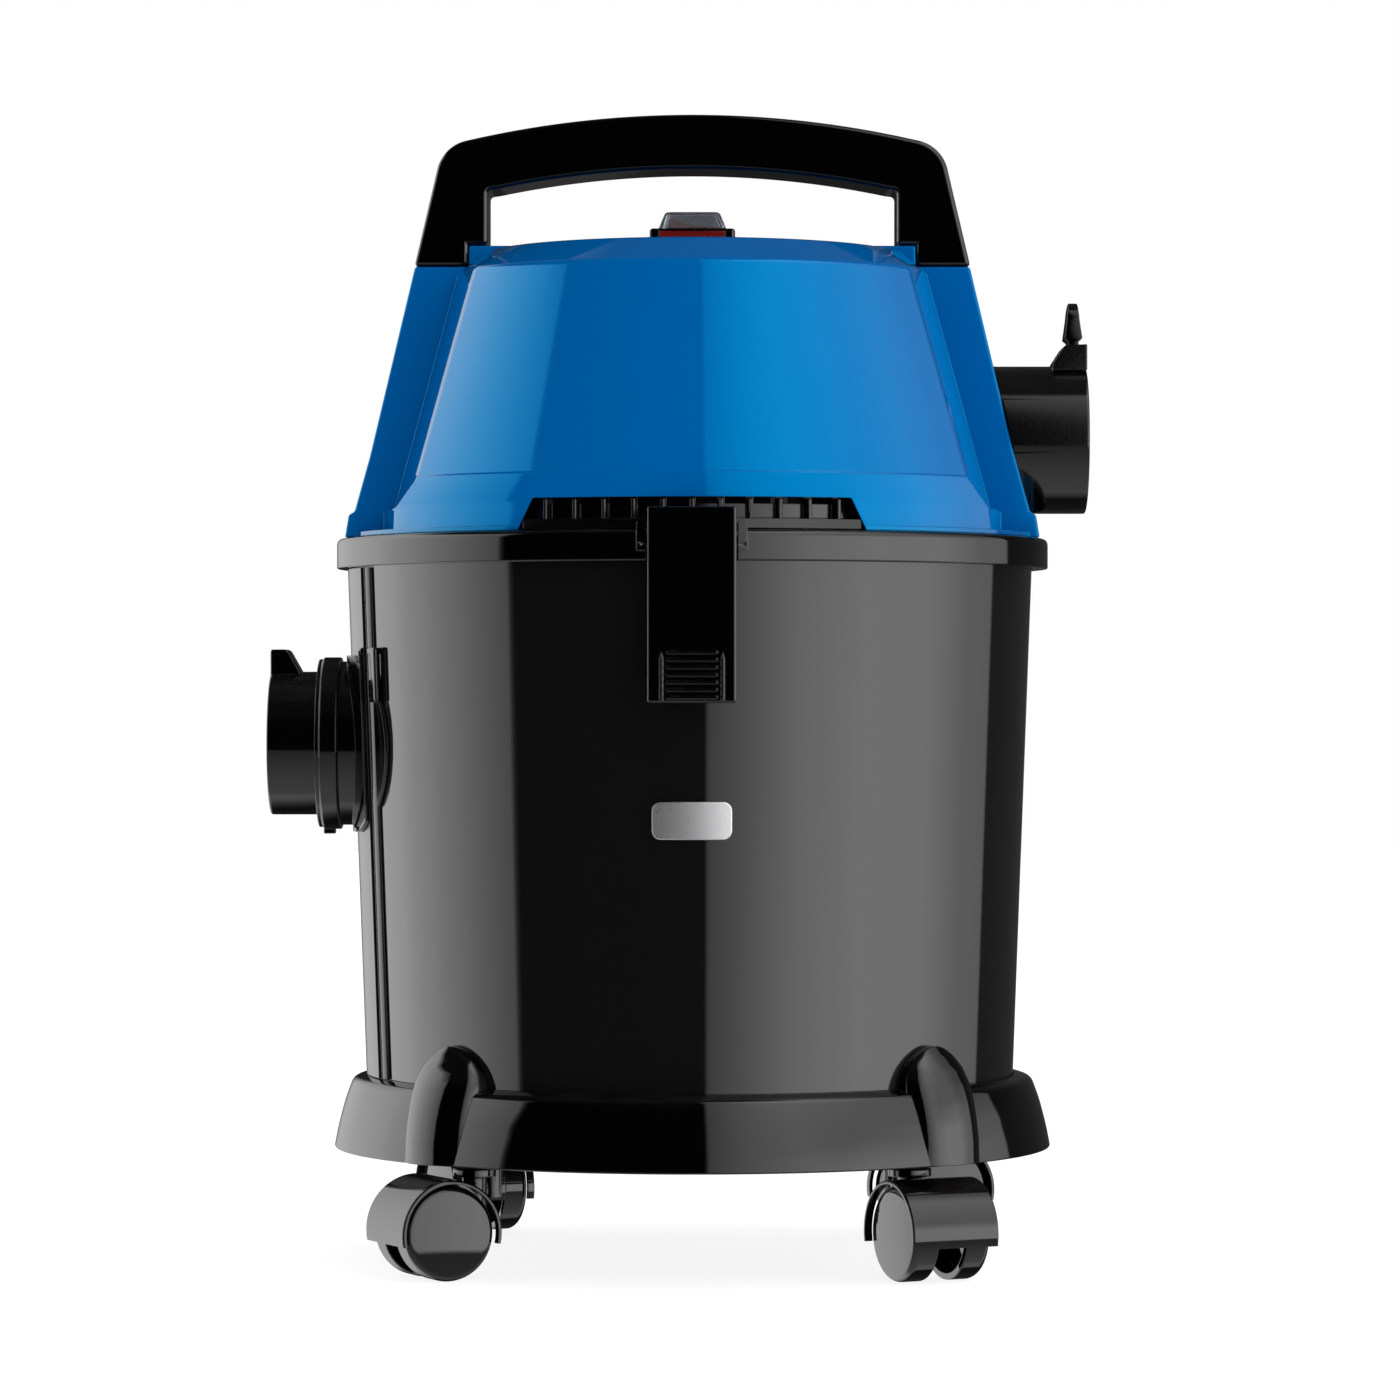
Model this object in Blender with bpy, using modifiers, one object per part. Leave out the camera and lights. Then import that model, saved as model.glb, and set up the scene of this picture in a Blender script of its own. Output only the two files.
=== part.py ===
"""Shop vacuum: a tapered drum on four twin-wheel castors under a lift-off motor head.

The drum's axis is the reference: X to the blower port, -Y to the front latch, Z up from the floor.
Lengths are metres. The axis stands a little off the origin, so that the whole object is centred on it.
"""
import math

import bmesh
import bpy
from mathutils import Matrix, Vector

# ---- driving dimensions ----
AXIS_X = 0.00595            # the drum's axis from the origin, along X
GAP = 0.0003                # clearance between touching pieces
ROUND = 48                  # facets round the drum
WALL = 0.0025               # moulded wall

DRUM_TOP_Z, DRUM_FLOOR_Z = 0.2990, 0.0550
DRUM_TOP_R, DRUM_FLOOR_R = 0.1434, 0.1343
RIM_R, RIM_LOW_Z, RIM_TOP_Z = 0.1498, 0.2891, 0.3016
EAR_INNER, EAR_HALF, EAR_TOP_Z = 0.0182, 0.0220, 0.3050
PANEL_HALF_DEG, STRIP_DEG, STRIP_SPAN_DEG = 18.2, 20.9, 4.2

BASE_LOW_Z, BASE_TOP_Z, BASE_R = 0.0465, 0.0770, 0.1508
FOOT_HALF, FOOT_TOP_Z, FOOT_R = 0.0150, 0.0940, 0.1548

INLET_Z, INLET_R, INLET_MOUTH = 0.2158, 0.03015, 0.1777
INLET_INNER_END = 0.1232    # the tube's end inside the drum, from the drum's axis
LOCK_RING_R, FLANGE_HALF_HEIGHT, FLANGE_HALF_DEG = 0.03625, 0.0368, 31.0
BLOWER_Z, BLOWER_R, BLOWER_MOUTH = 0.3437, 0.0311, 0.1658
TUBE_WALL = 0.0030

HEAD_LOW_Z = RIM_TOP_Z + GAP
BAND_Z, SKIRT_Z, CHAMFER_Z, CROWN_Z = 0.3125, 0.3247, 0.4117, 0.4224
HEAD_R = ((HEAD_LOW_Z, 0.1450), (BAND_Z, 0.1433), (SKIRT_Z, 0.1415), (CHAMFER_Z, 0.1108), (CROWN_Z, 0.0870))
RECESS_X = ((BAND_Z - 0.0002, 0.1300), (BAND_Z, 0.1258), (0.3340, 0.1200), (0.4130, 0.0987))
RECESS_BEND = ((BAND_Z, 0.372), (0.3340, 0.342), (0.4130, 0.216))
PANEL_EDGE_DEG = ((BAND_Z, 32.0), (SKIRT_Z, 37.6), (0.4130, 37.0))
PILASTER_X = ((HEAD_LOW_Z, 0.1450), (0.3110, 0.1430), (0.3122, 0.1406), (0.3356, 0.1344), (0.4155, 0.1163))
PILASTER_HALF = ((HEAD_LOW_Z, 0.0380), (0.3340, 0.0317), (0.4130, 0.0190))
SHOULDER_X, SHOULDER_Z = 0.0936, 0.4245
VENT_TOP_Z, VENT_TOP_HALF, VENT_LOW_HALF = 0.3147, 0.0636, 0.0715
LOUVRE_COUNT, LOUVRE_PITCH, LOUVRE_THICK = 11, 0.0115, 0.0018

HANDLE_TOP_Z, HANDLE_UNDER_Z, HANDLE_INNER_X = 0.4795, 0.4567, 0.0858
HANDLE_SHOULDER = (0.1075, 0.4546)
HANDLE_FOOT = (0.1166, 0.4158)
HANDLE_DEPTH = 0.0360

LATCH_HALF, LATCH_LOW_Z, LATCH_TOP_Z, LATCH_FACE_Y = 0.01765, 0.2328, 0.3104, 0.1545
LATCH_PIVOT_Y, LATCH_PIVOT_Z = 0.1468, 0.2955

CASTOR_REACH = 0.1250       # swivel axis from the drum's axis
CASTOR_TRAIL = 0.0180       # axle from the swivel axis
WHEEL_R, WHEEL_INNER, WHEEL_OUTER = 0.0193, 0.0062, 0.0183
HOOD_R, HOOD_BORE_R, HOOD_HALF, HOOD_TOP_Z = 0.0218, 0.0202, 0.0195, 0.0440
CASTORS = (("front_left", -135, -154), ("front_right", -45, -64), ("rear_right", 45, 26), ("rear_left", 135, 116))

ROCKER_PIVOT_Z = 0.4300
CATCH_PIVOT = (0.1604, 0.0, 0.3797)
GLAND_TURN = math.radians(62)       # the cord leaves the head at the right rear
GLAND_DIRECTION = Vector((math.cos(GLAND_TURN), math.sin(GLAND_TURN), 0.22)).normalized()
GLAND_FOOT = Vector((0.1392 * math.cos(GLAND_TURN), 0.1392 * math.sin(GLAND_TURN), 0.3310))

# ---- scene, collections and materials ----
for old in list(bpy.data.objects):
    bpy.data.objects.remove(old, do_unlink=True)
PARTS = bpy.data.collections.new("shop_vacuum")
CUTTERS = bpy.data.collections.new("cutters")
for collection in (PARTS, CUTTERS):
    bpy.context.scene.collection.children.link(collection)


def make_material(name, color, roughness, metallic=0.0, transmission=0.0):
    material = bpy.data.materials.new(name)
    material.use_nodes = True
    shader = material.node_tree.nodes["Principled BSDF"]
    shader.inputs["Base Color"].default_value = (*color, 1.0)
    shader.inputs["Roughness"].default_value = roughness
    shader.inputs["Metallic"].default_value = metallic
    shader.inputs["Transmission Weight"].default_value = transmission
    return material


GREY_GLOSS = make_material("grey_gloss", (0.055, 0.055, 0.057), 0.18)
BLUE_GLOSS = make_material("blue_gloss", (0.0, 0.165, 0.60), 0.20)
BLACK_GLOSS = make_material("black_gloss", (0.010, 0.010, 0.011), 0.15)
BLACK_MATTE = make_material("black_matte", (0.022, 0.022, 0.024), 0.55)
RUBBER = make_material("rubber", (0.025, 0.025, 0.025), 0.80)
RED_GLOSS = make_material("red_gloss", (0.30, 0.008, 0.008), 0.25)
CLEAR = make_material("clear_boot", (0.85, 0.88, 0.90), 0.08, transmission=0.9)
STEEL = make_material("steel", (0.55, 0.55, 0.56), 0.30, metallic=1.0)
SILVER = make_material("silver", (0.75, 0.76, 0.77), 0.30, metallic=1.0)
FABRIC = make_material("filter_cloth", (0.80, 0.79, 0.74), 0.90)
FLOAT_WHITE = make_material("float_plastic", (0.80, 0.80, 0.78), 0.40)


# ---- modelling helpers ----
def empty(name, location, parent=None, turn_deg=0.0):
    frame = bpy.data.objects.new(name, None)
    frame.empty_display_size = 0.02
    PARTS.objects.link(frame)
    frame.location = location
    frame.rotation_euler.z = math.radians(turn_deg)
    frame.parent = parent
    return frame


AXIS = empty("drum_axis", (AXIS_X, 0.0, 0.0))


def place(name, mesh, material, location=(0, 0, 0), rotation=(0, 0, 0), parent=AXIS):
    """Puts a mesh in the parts collection, or with no material among the cutters."""
    obj = bpy.data.objects.new(name, mesh)
    if material is None:
        CUTTERS.objects.link(obj)
        obj.display_type = "WIRE"
        obj.hide_render = True
    else:
        PARTS.objects.link(obj)
        mesh.materials.append(material)
    obj.location = location
    obj.rotation_euler = rotation
    obj.parent = parent
    return obj


def mesh_of(name, build, smooth_deg=35):
    mesh = bpy.data.meshes.new(name)
    builder = bmesh.new()
    build(builder)
    builder.to_mesh(mesh)
    builder.free()
    mesh.shade_smooth()
    mesh.set_sharp_from_angle(angle=math.radians(smooth_deg))
    return mesh


def bevel(obj, width, segments=1, limit_deg=40):
    modifier = obj.modifiers.new("edges", "BEVEL")
    modifier.width = width
    modifier.segments = segments
    modifier.limit_method = "ANGLE"
    modifier.angle_limit = math.radians(limit_deg)
    return obj


def combine(obj, other, operation="DIFFERENCE"):
    modifier = obj.modifiers.new(operation.lower(), "BOOLEAN")
    modifier.operation = operation
    modifier.object = other
    modifier.solver = "EXACT"
    return obj


def box(name, low, high, material=None, **where):
    """A block between two opposite corners; its origin is its middle."""
    low, high = Vector(low), Vector(high)
    size = [abs(one - other) for one, other in zip(low, high)]

    def build(builder):
        bmesh.ops.create_cube(builder, size=1.0, matrix=Matrix.Diagonal((*size, 1.0)))

    return place(name, mesh_of(name, build), material, (low + high) / 2, **where)


def rod(name, start, end, radius, material=None, facets=16, **where):
    """A round bar from start to end."""
    start, end = Vector(start), Vector(end)
    along = end - start

    def build(builder):
        bmesh.ops.create_cone(builder, cap_ends=True, segments=facets, radius1=radius, radius2=radius,
                              depth=along.length)

    turn = Vector((0, 0, 1)).rotation_difference(along).to_euler()
    return place(name, mesh_of(name, build), material, (start + end) / 2, turn, **where)


def turned(name, profile, material=None, facets=ROUND, closed=True, sweep_deg=360.0, **where):
    """A profile of (radius, height) points, down its outer side first, turned about Z."""
    mesh = bpy.data.meshes.new(name)
    count = len(profile)
    edges = [(i, i + 1) for i in range(count - 1)]
    if closed:
        edges.append((count - 1, 0))
    mesh.from_pydata([(radius, 0.0, height) for radius, height in profile], edges, [])
    obj = place(name, mesh, material, **where)
    screw = obj.modifiers.new("turn", "SCREW")
    screw.angle = math.radians(sweep_deg)
    screw.steps = facets
    screw.render_steps = facets
    screw.use_smooth_shade = True
    screw.use_merge_vertices = True
    screw.merge_threshold = 0.00001
    return obj


def curved_plate(name, profile, thickness, middle_deg, sweep_deg, steps, material=None):
    """A thin plate that follows the drum: an open turned surface, thickened inwards."""
    obj = turned(name, profile, material, facets=steps, closed=False, sweep_deg=sweep_deg,
                 rotation=(0, 0, math.radians(middle_deg - sweep_deg / 2)))
    shell = obj.modifiers.new("thickness", "SOLIDIFY")
    shell.thickness = thickness
    shell.offset = -1.0
    return obj


def outline(name, points, depth, material=None, location=(0, 0, 0), rotation=(0, 0, 0), parent=AXIS):
    """A flat outline, thickened to both sides of its plane, as a mesh that Booleans can use."""
    curve = bpy.data.curves.new(name, "CURVE")
    curve.dimensions = "2D"
    curve.fill_mode = "BOTH"
    curve.extrude = depth / 2
    spline = curve.splines.new("POLY")
    spline.points.add(len(points) - 1)
    for point, (across, up) in zip(spline.points, points):
        point.co = (across, up, 0.0, 1.0)
    spline.use_cyclic_u = True
    guide = bpy.data.objects.new(name + "_curve", curve)
    CUTTERS.objects.link(guide)
    bpy.context.view_layer.update()
    evaluated = guide.evaluated_get(bpy.context.evaluated_depsgraph_get())
    mesh = bpy.data.meshes.new_from_object(evaluated)
    bpy.data.objects.remove(guide)
    builder = bmesh.new()
    builder.from_mesh(mesh)
    bmesh.ops.remove_doubles(builder, verts=builder.verts, dist=0.00001)
    builder.to_mesh(mesh)
    builder.free()
    mesh.materials.clear()
    mesh.name = name
    return place(name, mesh, material, location, rotation, parent)


def arc(centre, radius, start_deg, end_deg, steps):
    return [(centre[0] + radius * math.cos(math.radians(start_deg + (end_deg - start_deg) * i / steps)),
             centre[1] + radius * math.sin(math.radians(start_deg + (end_deg - start_deg) * i / steps)))
            for i in range(steps + 1)]


def loft(name, loops, material=None, **where):
    """A solid skinned over closed loops of points, from the lowest to the highest."""
    mesh = bpy.data.meshes.new(name)
    count = len(loops[0])
    faces = [tuple(reversed(range(count)))]
    for level in range(len(loops) - 1):
        for i in range(count):
            j = (i + 1) % count
            low, high = level * count, (level + 1) * count
            faces.append((low + i, low + j, high + j, high + i))
    faces.append(tuple(range((len(loops) - 1) * count, len(loops) * count)))
    mesh.from_pydata([point for loop in loops for point in loop], [], faces)
    builder = bmesh.new()
    builder.from_mesh(mesh)
    bmesh.ops.triangulate(builder, faces=builder.faces)
    builder.to_mesh(mesh)
    builder.free()
    return place(name, mesh, material, **where)


def at(table, z):
    """Reads a (height, value) table at a height, straight between its rows."""
    if z <= table[0][0]:
        return table[0][1]
    for (low_z, low), (high_z, high) in zip(table, table[1:]):
        if z <= high_z:
            return low + (high - low) * (z - low_z) / (high_z - low_z)
    return table[-1][1]


def drum_radius(z):
    return DRUM_FLOOR_R + (DRUM_TOP_R - DRUM_FLOOR_R) * (z - DRUM_FLOOR_Z) / (DRUM_TOP_Z - DRUM_FLOOR_Z)


UPRIGHT = (math.radians(90), 0, 0)      # turns an outline's plane into XZ
SIDEWAYS = (math.radians(90), 0, math.radians(90))      # turns an outline's plane into YZ


# ---- drum, rim and side panel ----
def make_drum():
    inner_low, outer_low = DRUM_FLOOR_Z + 0.014, DRUM_FLOOR_Z + 0.008
    drum = turned("drum", [(0.0, DRUM_FLOOR_Z + WALL), (DRUM_FLOOR_R - 0.0120, DRUM_FLOOR_Z + WALL),
                           (drum_radius(inner_low) - WALL, inner_low), (DRUM_TOP_R - WALL, DRUM_TOP_Z),
                           (DRUM_TOP_R, DRUM_TOP_Z), (drum_radius(outer_low), outer_low),
                           (DRUM_FLOOR_R - 0.0080, DRUM_FLOOR_Z), (0.0, DRUM_FLOOR_Z)],
                  GREY_GLOSS, closed=False)
    combine(drum, rod("inlet_hole", (-0.120, 0, INLET_Z), (-0.160, 0, INLET_Z), INLET_R + 0.0009, facets=32))

    rim = turned("drum_rim", [(RIM_R - 0.0022, RIM_TOP_Z), (RIM_R, RIM_TOP_Z - 0.0022), (RIM_R, RIM_LOW_Z),
                              (DRUM_TOP_R + GAP, RIM_LOW_Z), (DRUM_TOP_R + GAP, DRUM_TOP_Z + GAP),
                              (0.1393, DRUM_TOP_Z + GAP), (0.1393, RIM_TOP_Z)], GREY_GLOSS)
    for side, sign in (("front", -1), ("rear", 1)):
        for hand, ear_x in (("left", -1), ("right", 1)):
            ear = turned(f"{side}_{hand}_ear", [(RIM_R + 0.0002, EAR_TOP_Z), (RIM_R + 0.0002, RIM_LOW_Z + 0.004),
                                                (0.1454, RIM_LOW_Z + 0.004), (0.1454, EAR_TOP_Z)])
            combine(ear, box(f"{side}_{hand}_ear_zone", (ear_x * EAR_INNER, sign * 0.130, 0.280),
                             (ear_x * EAR_HALF, sign * 0.160, 0.310)), "INTERSECT")
            combine(rim, ear, "UNION")
        combine(rim, box(side + "_latch_pocket", (-EAR_INNER, sign * 0.1385, 0.280),
                         (EAR_INNER, sign * 0.1600, DRUM_TOP_Z - 0.0002)))
        combine(rim, rod(side + "_pin_hole", (-0.0215, sign * LATCH_PIVOT_Y, LATCH_PIVOT_Z),
                         (0.0215, sign * LATCH_PIVOT_Y, LATCH_PIVOT_Z), 0.0018, facets=12))

    low, high = BASE_TOP_Z + GAP, RIM_LOW_Z - GAP
    panel = curved_plate("side_panel", [(drum_radius(high) + 0.0022, high), (drum_radius(low) + 0.0022, low)],
                         0.0017, 180, 2 * PANEL_HALF_DEG, 8, GREY_GLOSS)
    combine(panel, rod("panel_hole", (-0.120, 0, INLET_Z), (-0.160, 0, INLET_Z), INLET_R + 0.0009, facets=32))
    badge_z, badge_half = 0.1860, 0.0075
    curved_plate("badge", [(drum_radius(badge_z) + 0.0016, badge_z + badge_half),
                           (drum_radius(badge_z) + 0.0013, badge_z - badge_half)], 0.0007, -90, 13, 4, SILVER)


def make_seam_strips():
    low, high = BASE_TOP_Z + GAP, RIM_LOW_Z - GAP
    for side, sign in (("front", 1), ("rear", -1)):
        middle = 180 + sign * STRIP_DEG
        strip = curved_plate("seam_strip_" + side,
                             [(drum_radius(high) + 0.0048, high), (drum_radius(low) + 0.0048, low)],
                             0.0043, middle, STRIP_SPAN_DEG, 2, GREY_GLOSS)
        combine(strip, curved_plate(side + "_strip_groove", [(0.1520, 0.30), (0.1440, 0.07)],
                                    0.0043, middle, 1.4, 1))
        combine(strip, flange_blank(side + "_strip_relief", 0.0032, 0.0006))


# ---- suction inlet ----
def flange_blank(name, height, grow, material=None):
    """The saddle flange's outline, wrapped on the drum and standing the given height off it."""
    half_y = math.sin(math.radians(FLANGE_HALF_DEG)) * drum_radius(INLET_Z) + grow
    half_z = FLANGE_HALF_HEIGHT + grow
    points = (arc((half_y - half_z, 0), half_z, -90, 90, 8) + arc((half_z - half_y, 0), half_z, 90, 270, 8))
    plate = outline(name, points, 0.080, material, (-0.125, 0, INLET_Z), SIDEWAYS)
    low, high = INLET_Z - 0.045, INLET_Z + 0.045
    ring = turned(name + "_ring", [(drum_radius(high) + height, high), (drum_radius(low) + height, low),
                                   (drum_radius(low) + 0.0004, low), (drum_radius(high) + 0.0004, high)])
    return combine(plate, ring, "INTERSECT")


def make_inlet():
    flange = flange_blank("inlet_flange", 0.0041, 0.0, BLACK_GLOSS)
    combine(flange, rod("flange_neck", (-0.1400, 0, INLET_Z), (-0.1477, 0, INLET_Z), 0.0345, facets=32), "UNION")
    relief = curved_plate("flange_panel_relief", [(drum_radius(0.28) + 0.0025, 0.28),
                                                  (drum_radius(0.15) + 0.0025, 0.15)],
                          0.0060, 180, 2 * PANEL_HALF_DEG + 0.4, 10)
    combine(flange, relief)
    for side, sign in (("front", 1), ("rear", -1)):
        middle = 180 + sign * STRIP_DEG
        combine(flange, curved_plate(side + "_strip_channel", [(drum_radius(0.28) + 0.0080, 0.28),
                                                               (drum_radius(0.15) + 0.0080, 0.15)],
                                     0.0052, middle, STRIP_SPAN_DEG + 0.4, 2))
    combine(flange, rod("flange_bore", (-0.120, 0, INLET_Z), (-0.160, 0, INLET_Z), INLET_R + 0.0006, facets=32))

    turned("inlet_gasket", [(0.0345, 0.0015), (0.0345, 0.0), (INLET_R + 0.0006, 0.0), (INLET_R + 0.0006, 0.0015)],
           RUBBER, facets=32, location=(-0.1330, 0, INLET_Z), rotation=(0, math.radians(90), 0))
    ring = turned("inlet_ring", [(LOCK_RING_R - 0.0008, 0.0094), (LOCK_RING_R - 0.0008, 0.0076),
                                 (LOCK_RING_R, 0.0072), (LOCK_RING_R, 0.0), (INLET_R + 0.0005, 0.0),
                                 (INLET_R + 0.0005, 0.0094)],
                  BLACK_GLOSS, facets=32, location=(-0.1480, 0, INLET_Z), rotation=(0, math.radians(-90), 0))
    combine(ring, box("ring_peg", (-0.1556, -0.0020, INLET_Z - 0.0382), (-0.1506, 0.0020, INLET_Z - 0.0340)),
            "UNION")

    length = INLET_MOUTH - INLET_INNER_END
    tube = turned("inlet_tube", [(INLET_R, length), (INLET_R, 0.0), (INLET_R - TUBE_WALL, 0.0),
                                 (INLET_R - TUBE_WALL, length)],
                  BLACK_GLOSS, facets=32, location=(-INLET_INNER_END, 0, INLET_Z),
                  rotation=(0, math.radians(-90), 0))
    boss = [(-INLET_MOUTH, 0.0280), (-INLET_MOUTH, 0.0395), (-0.1701, 0.0395), (-0.1646, 0.0298),
            (-0.1646, 0.0280)]
    combine(tube, outline("inlet_boss", boss, 0.016, None, (0, 0, INLET_Z), UPRIGHT), "UNION")

    # a short elbow inside the drum turns the dirty air down
    elbow = turned("inlet_deflector", [(0.0, 0.0225), (0.0345, 0.0225), (0.0345, 0.0), (0.0315, 0.0),
                                       (0.0315, 0.0195), (0.0, 0.0195)],
                   BLACK_MATTE, facets=24, closed=False, location=(-0.1312, 0, INLET_Z),
                   rotation=(0, math.radians(90), 0))
    combine(elbow, box("deflector_mouth", (-0.1230, -0.0240, INLET_Z - 0.050), (-0.1134, 0.0240, INLET_Z - 0.018)))


# ---- base ring with its feet, and castors ----
def make_base():
    skirt = [(0.1370, BASE_TOP_Z), (0.1428, BASE_TOP_Z - 0.0015), (0.1462, 0.0665), (0.1492, 0.0550),
             (BASE_R, BASE_LOW_Z), (BASE_R - WALL, BASE_LOW_Z), (BASE_R - WALL - 0.0010, 0.0520),
             (0.1180, 0.0520), (0.1180, 0.0570), (0.1330, 0.0570), (0.1330, BASE_TOP_Z)]
    base = turned("base_ring", skirt, GREY_GLOSS)
    foot_low = BASE_LOW_Z + 0.0004
    lean = [(0.1385, FOOT_TOP_Z + 0.001), (0.1452, 0.0880), (0.1500, 0.0780), (0.1532, 0.0640),
            (FOOT_R, foot_low), (0.1160, foot_low), (0.1160, FOOT_TOP_Z + 0.001)]
    room = turned("drum_room", [(0.0, 0.1100), (drum_radius(0.1100) + 0.0005, 0.1100),
                                (drum_radius(DRUM_FLOOR_Z) + 0.0005, DRUM_FLOOR_Z - GAP),
                                (0.0, DRUM_FLOOR_Z - GAP)], closed=False)
    for name, place_deg, _ in CASTORS:
        arch = arc((0, FOOT_TOP_Z - FOOT_HALF), FOOT_HALF, 0, 180, 8)
        points = arch + [(-FOOT_HALF, 0.040), (FOOT_HALF, 0.040)]
        corner = empty(name + "_corner", (0, 0, 0), AXIS, place_deg)
        foot = outline(name + "_foot", points, 0.046, None, (0.137, 0, 0), SIDEWAYS, corner)
        combine(foot, turned(name + "_lean", lean), "INTERSECT")
        combine(base, foot, "UNION")
        combine(base, rod(name + "_socket", (CASTOR_REACH, 0, 0.040), (CASTOR_REACH, 0, 0.0531), 0.0043,
                          facets=16, parent=corner))
    combine(base, room)


def make_castor(name, place_deg, trail_deg):
    """One castor: its frame turns about the stem, and the wheels sit on an axle behind it."""
    reach = math.radians(place_deg)
    pivot = empty("castor_" + name, (CASTOR_REACH * math.cos(reach), CASTOR_REACH * math.sin(reach), 0),
                  AXIS, trail_deg)
    turned("castor_stem_" + name, [(0.0, 0.0527), (0.0040, 0.0527), (0.0040, 0.0462), (0.0075, 0.0462),
                                   (0.0075, HOOD_TOP_Z + GAP), (0.0040, HOOD_TOP_Z + GAP), (0.0040, 0.0230),
                                   (0.0, 0.0230)], STEEL, facets=12, closed=False, parent=pivot)

    centre = (CASTOR_TRAIL, 0, WHEEL_R)
    hood = rod("castor_hood_" + name, (CASTOR_TRAIL, -HOOD_HALF, WHEEL_R), (CASTOR_TRAIL, HOOD_HALF, WHEEL_R),
               HOOD_R, BLACK_GLOSS, facets=24, parent=pivot)
    web = 0.0052
    for side, sign in (("a", -1), ("b", 1)):
        combine(hood, rod(f"{name}_well_{side}", (CASTOR_TRAIL, sign * web, WHEEL_R),
                          (CASTOR_TRAIL, sign * 0.0300, WHEEL_R), HOOD_BORE_R, facets=24, parent=pivot))
        combine(hood, box(f"{name}_window_{side}", (CASTOR_TRAIL - 0.0300, sign * web, 0.0),
                          (CASTOR_TRAIL - 0.0060, sign * (HOOD_HALF - 0.0016), 0.05), parent=pivot))
    combine(hood, box(name + "_ground_cut", (CASTOR_TRAIL - 0.03, -0.03, -0.01),
                      (CASTOR_TRAIL + 0.03, 0.03, WHEEL_R - 0.0045), parent=pivot))
    combine(hood, turned(name + "_socket_boss", [(0.0, HOOD_TOP_Z), (0.0088, HOOD_TOP_Z), (0.0088, 0.0408),
                                                 (0.0050, 0.0400), (0.0050, 0.0160), (0.0, 0.0160)],
                         facets=16, closed=False, parent=pivot), "UNION")
    combine(hood, rod(name + "_stem_bore", (0, 0, 0.0220), (0, 0, 0.0500), 0.0043, facets=14, parent=pivot))
    combine(hood, rod(name + "_axle_bore", (CASTOR_TRAIL, -0.0100, WHEEL_R), (CASTOR_TRAIL, 0.0100, WHEEL_R),
                      0.0023, facets=12, parent=pivot))

    rod("castor_axle_" + name, (CASTOR_TRAIL, -0.0160, WHEEL_R), (CASTOR_TRAIL, 0.0160, WHEEL_R), 0.0020,
        STEEL, facets=12, parent=pivot)
    # the wheel's profile, in its own frame with its inner face at height 0 and its hub's bore blind
    width = WHEEL_OUTER - WHEEL_INNER
    profile = [(0.0, width), (WHEEL_R - 0.0012, width - 0.0012), (WHEEL_R, width - 0.0030), (WHEEL_R, 0.0),
               (0.0165, 0.0), (0.0160, 0.0075), (0.0060, 0.0075), (0.0050, 0.0), (0.0024, 0.0),
               (0.0024, 0.0100), (0.0, 0.0100)]
    for side, sign in (("a", -1), ("b", 1)):
        turned(f"castor_wheel_{name}_{side}", profile, BLACK_GLOSS, facets=20, closed=False,
               location=(centre[0], sign * WHEEL_INNER, centre[2]),
               rotation=(math.radians(-90 * sign), 0, 0), parent=pivot)


# ---- motor head ----
def recess_reach(z, turn_deg, inset):
    """How far the head's side recess lies from the axis, in a direction turned from +X."""
    depth, bend = at(RECESS_X, z) - inset, at(RECESS_BEND, z)
    cosine, sine = math.cos(math.radians(turn_deg)), math.sin(math.radians(turn_deg))
    if sine < 0.001:
        return depth
    return (math.sqrt(cosine ** 2 + 2 * sine ** 2 * depth / bend) - cosine) * bend / sine ** 2


def head_outline(z, inset, height=None):
    """One level of the head: round panels in front and behind, shallower recesses at the sides."""
    radius = at(HEAD_R, z) - inset
    edge = at(PANEL_EDGE_DEG, z)
    turns = [0.0, edge * 0.34, edge * 0.68, edge]
    quarter = [(turn, min(radius, recess_reach(z, turn, inset))) for turn in turns]
    quarter += [(edge + 0.4 + (90 - edge - 0.4) * i / 5, radius) for i in range(6)]
    loop = quarter + [(180 - turn, reach) for turn, reach in reversed(quarter[:-1])]
    loop += [(turn + 180, reach) for turn, reach in loop[1:-1]]
    level = z if height is None else height
    return [(reach * math.cos(math.radians(turn)), reach * math.sin(math.radians(turn)), level)
            for turn, reach in loop]


def head_solid(name, inset, material=None):
    levels = (BAND_Z - 0.0002, BAND_Z, SKIRT_Z, 0.3340, 0.3650, 0.3900, CHAMFER_Z)
    loops = [head_outline(HEAD_LOW_Z, inset, HEAD_LOW_Z - (0.010 if inset else 0.002))]
    loops += [head_outline(z, inset) for z in levels[:-1]]
    loops.append(head_outline(CHAMFER_Z, inset, CHAMFER_Z - inset * 0.5))
    loops.append(head_outline(CROWN_Z, inset, CROWN_Z - inset))
    crown = [(x * 0.45, y * 0.45, z + 0.0030) for x, y, z in loops[-1]]
    return loft(name, loops + [crown], material)


def pilaster(name, sign, inset, reach=0.0):
    """The tapered post at one side of the head that carries the handle. Its face may reach further out."""
    levels = [z for z, _ in PILASTER_X]
    loops = []
    for z in levels:
        height = z
        if z == levels[0]:
            height -= 0.012 if inset else 0.004
        if z == levels[-1]:
            height -= inset
        half, face = at(PILASTER_HALF, z) - inset, at(PILASTER_X, z) - inset + reach
        loop = [(0.080, -half, height), (face, -half, height), (face, half, height), (0.080, half, height)]
        loops.append([(sign * x, sign * y, level) for x, y, level in loop])
    return loft(name, loops)


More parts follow.
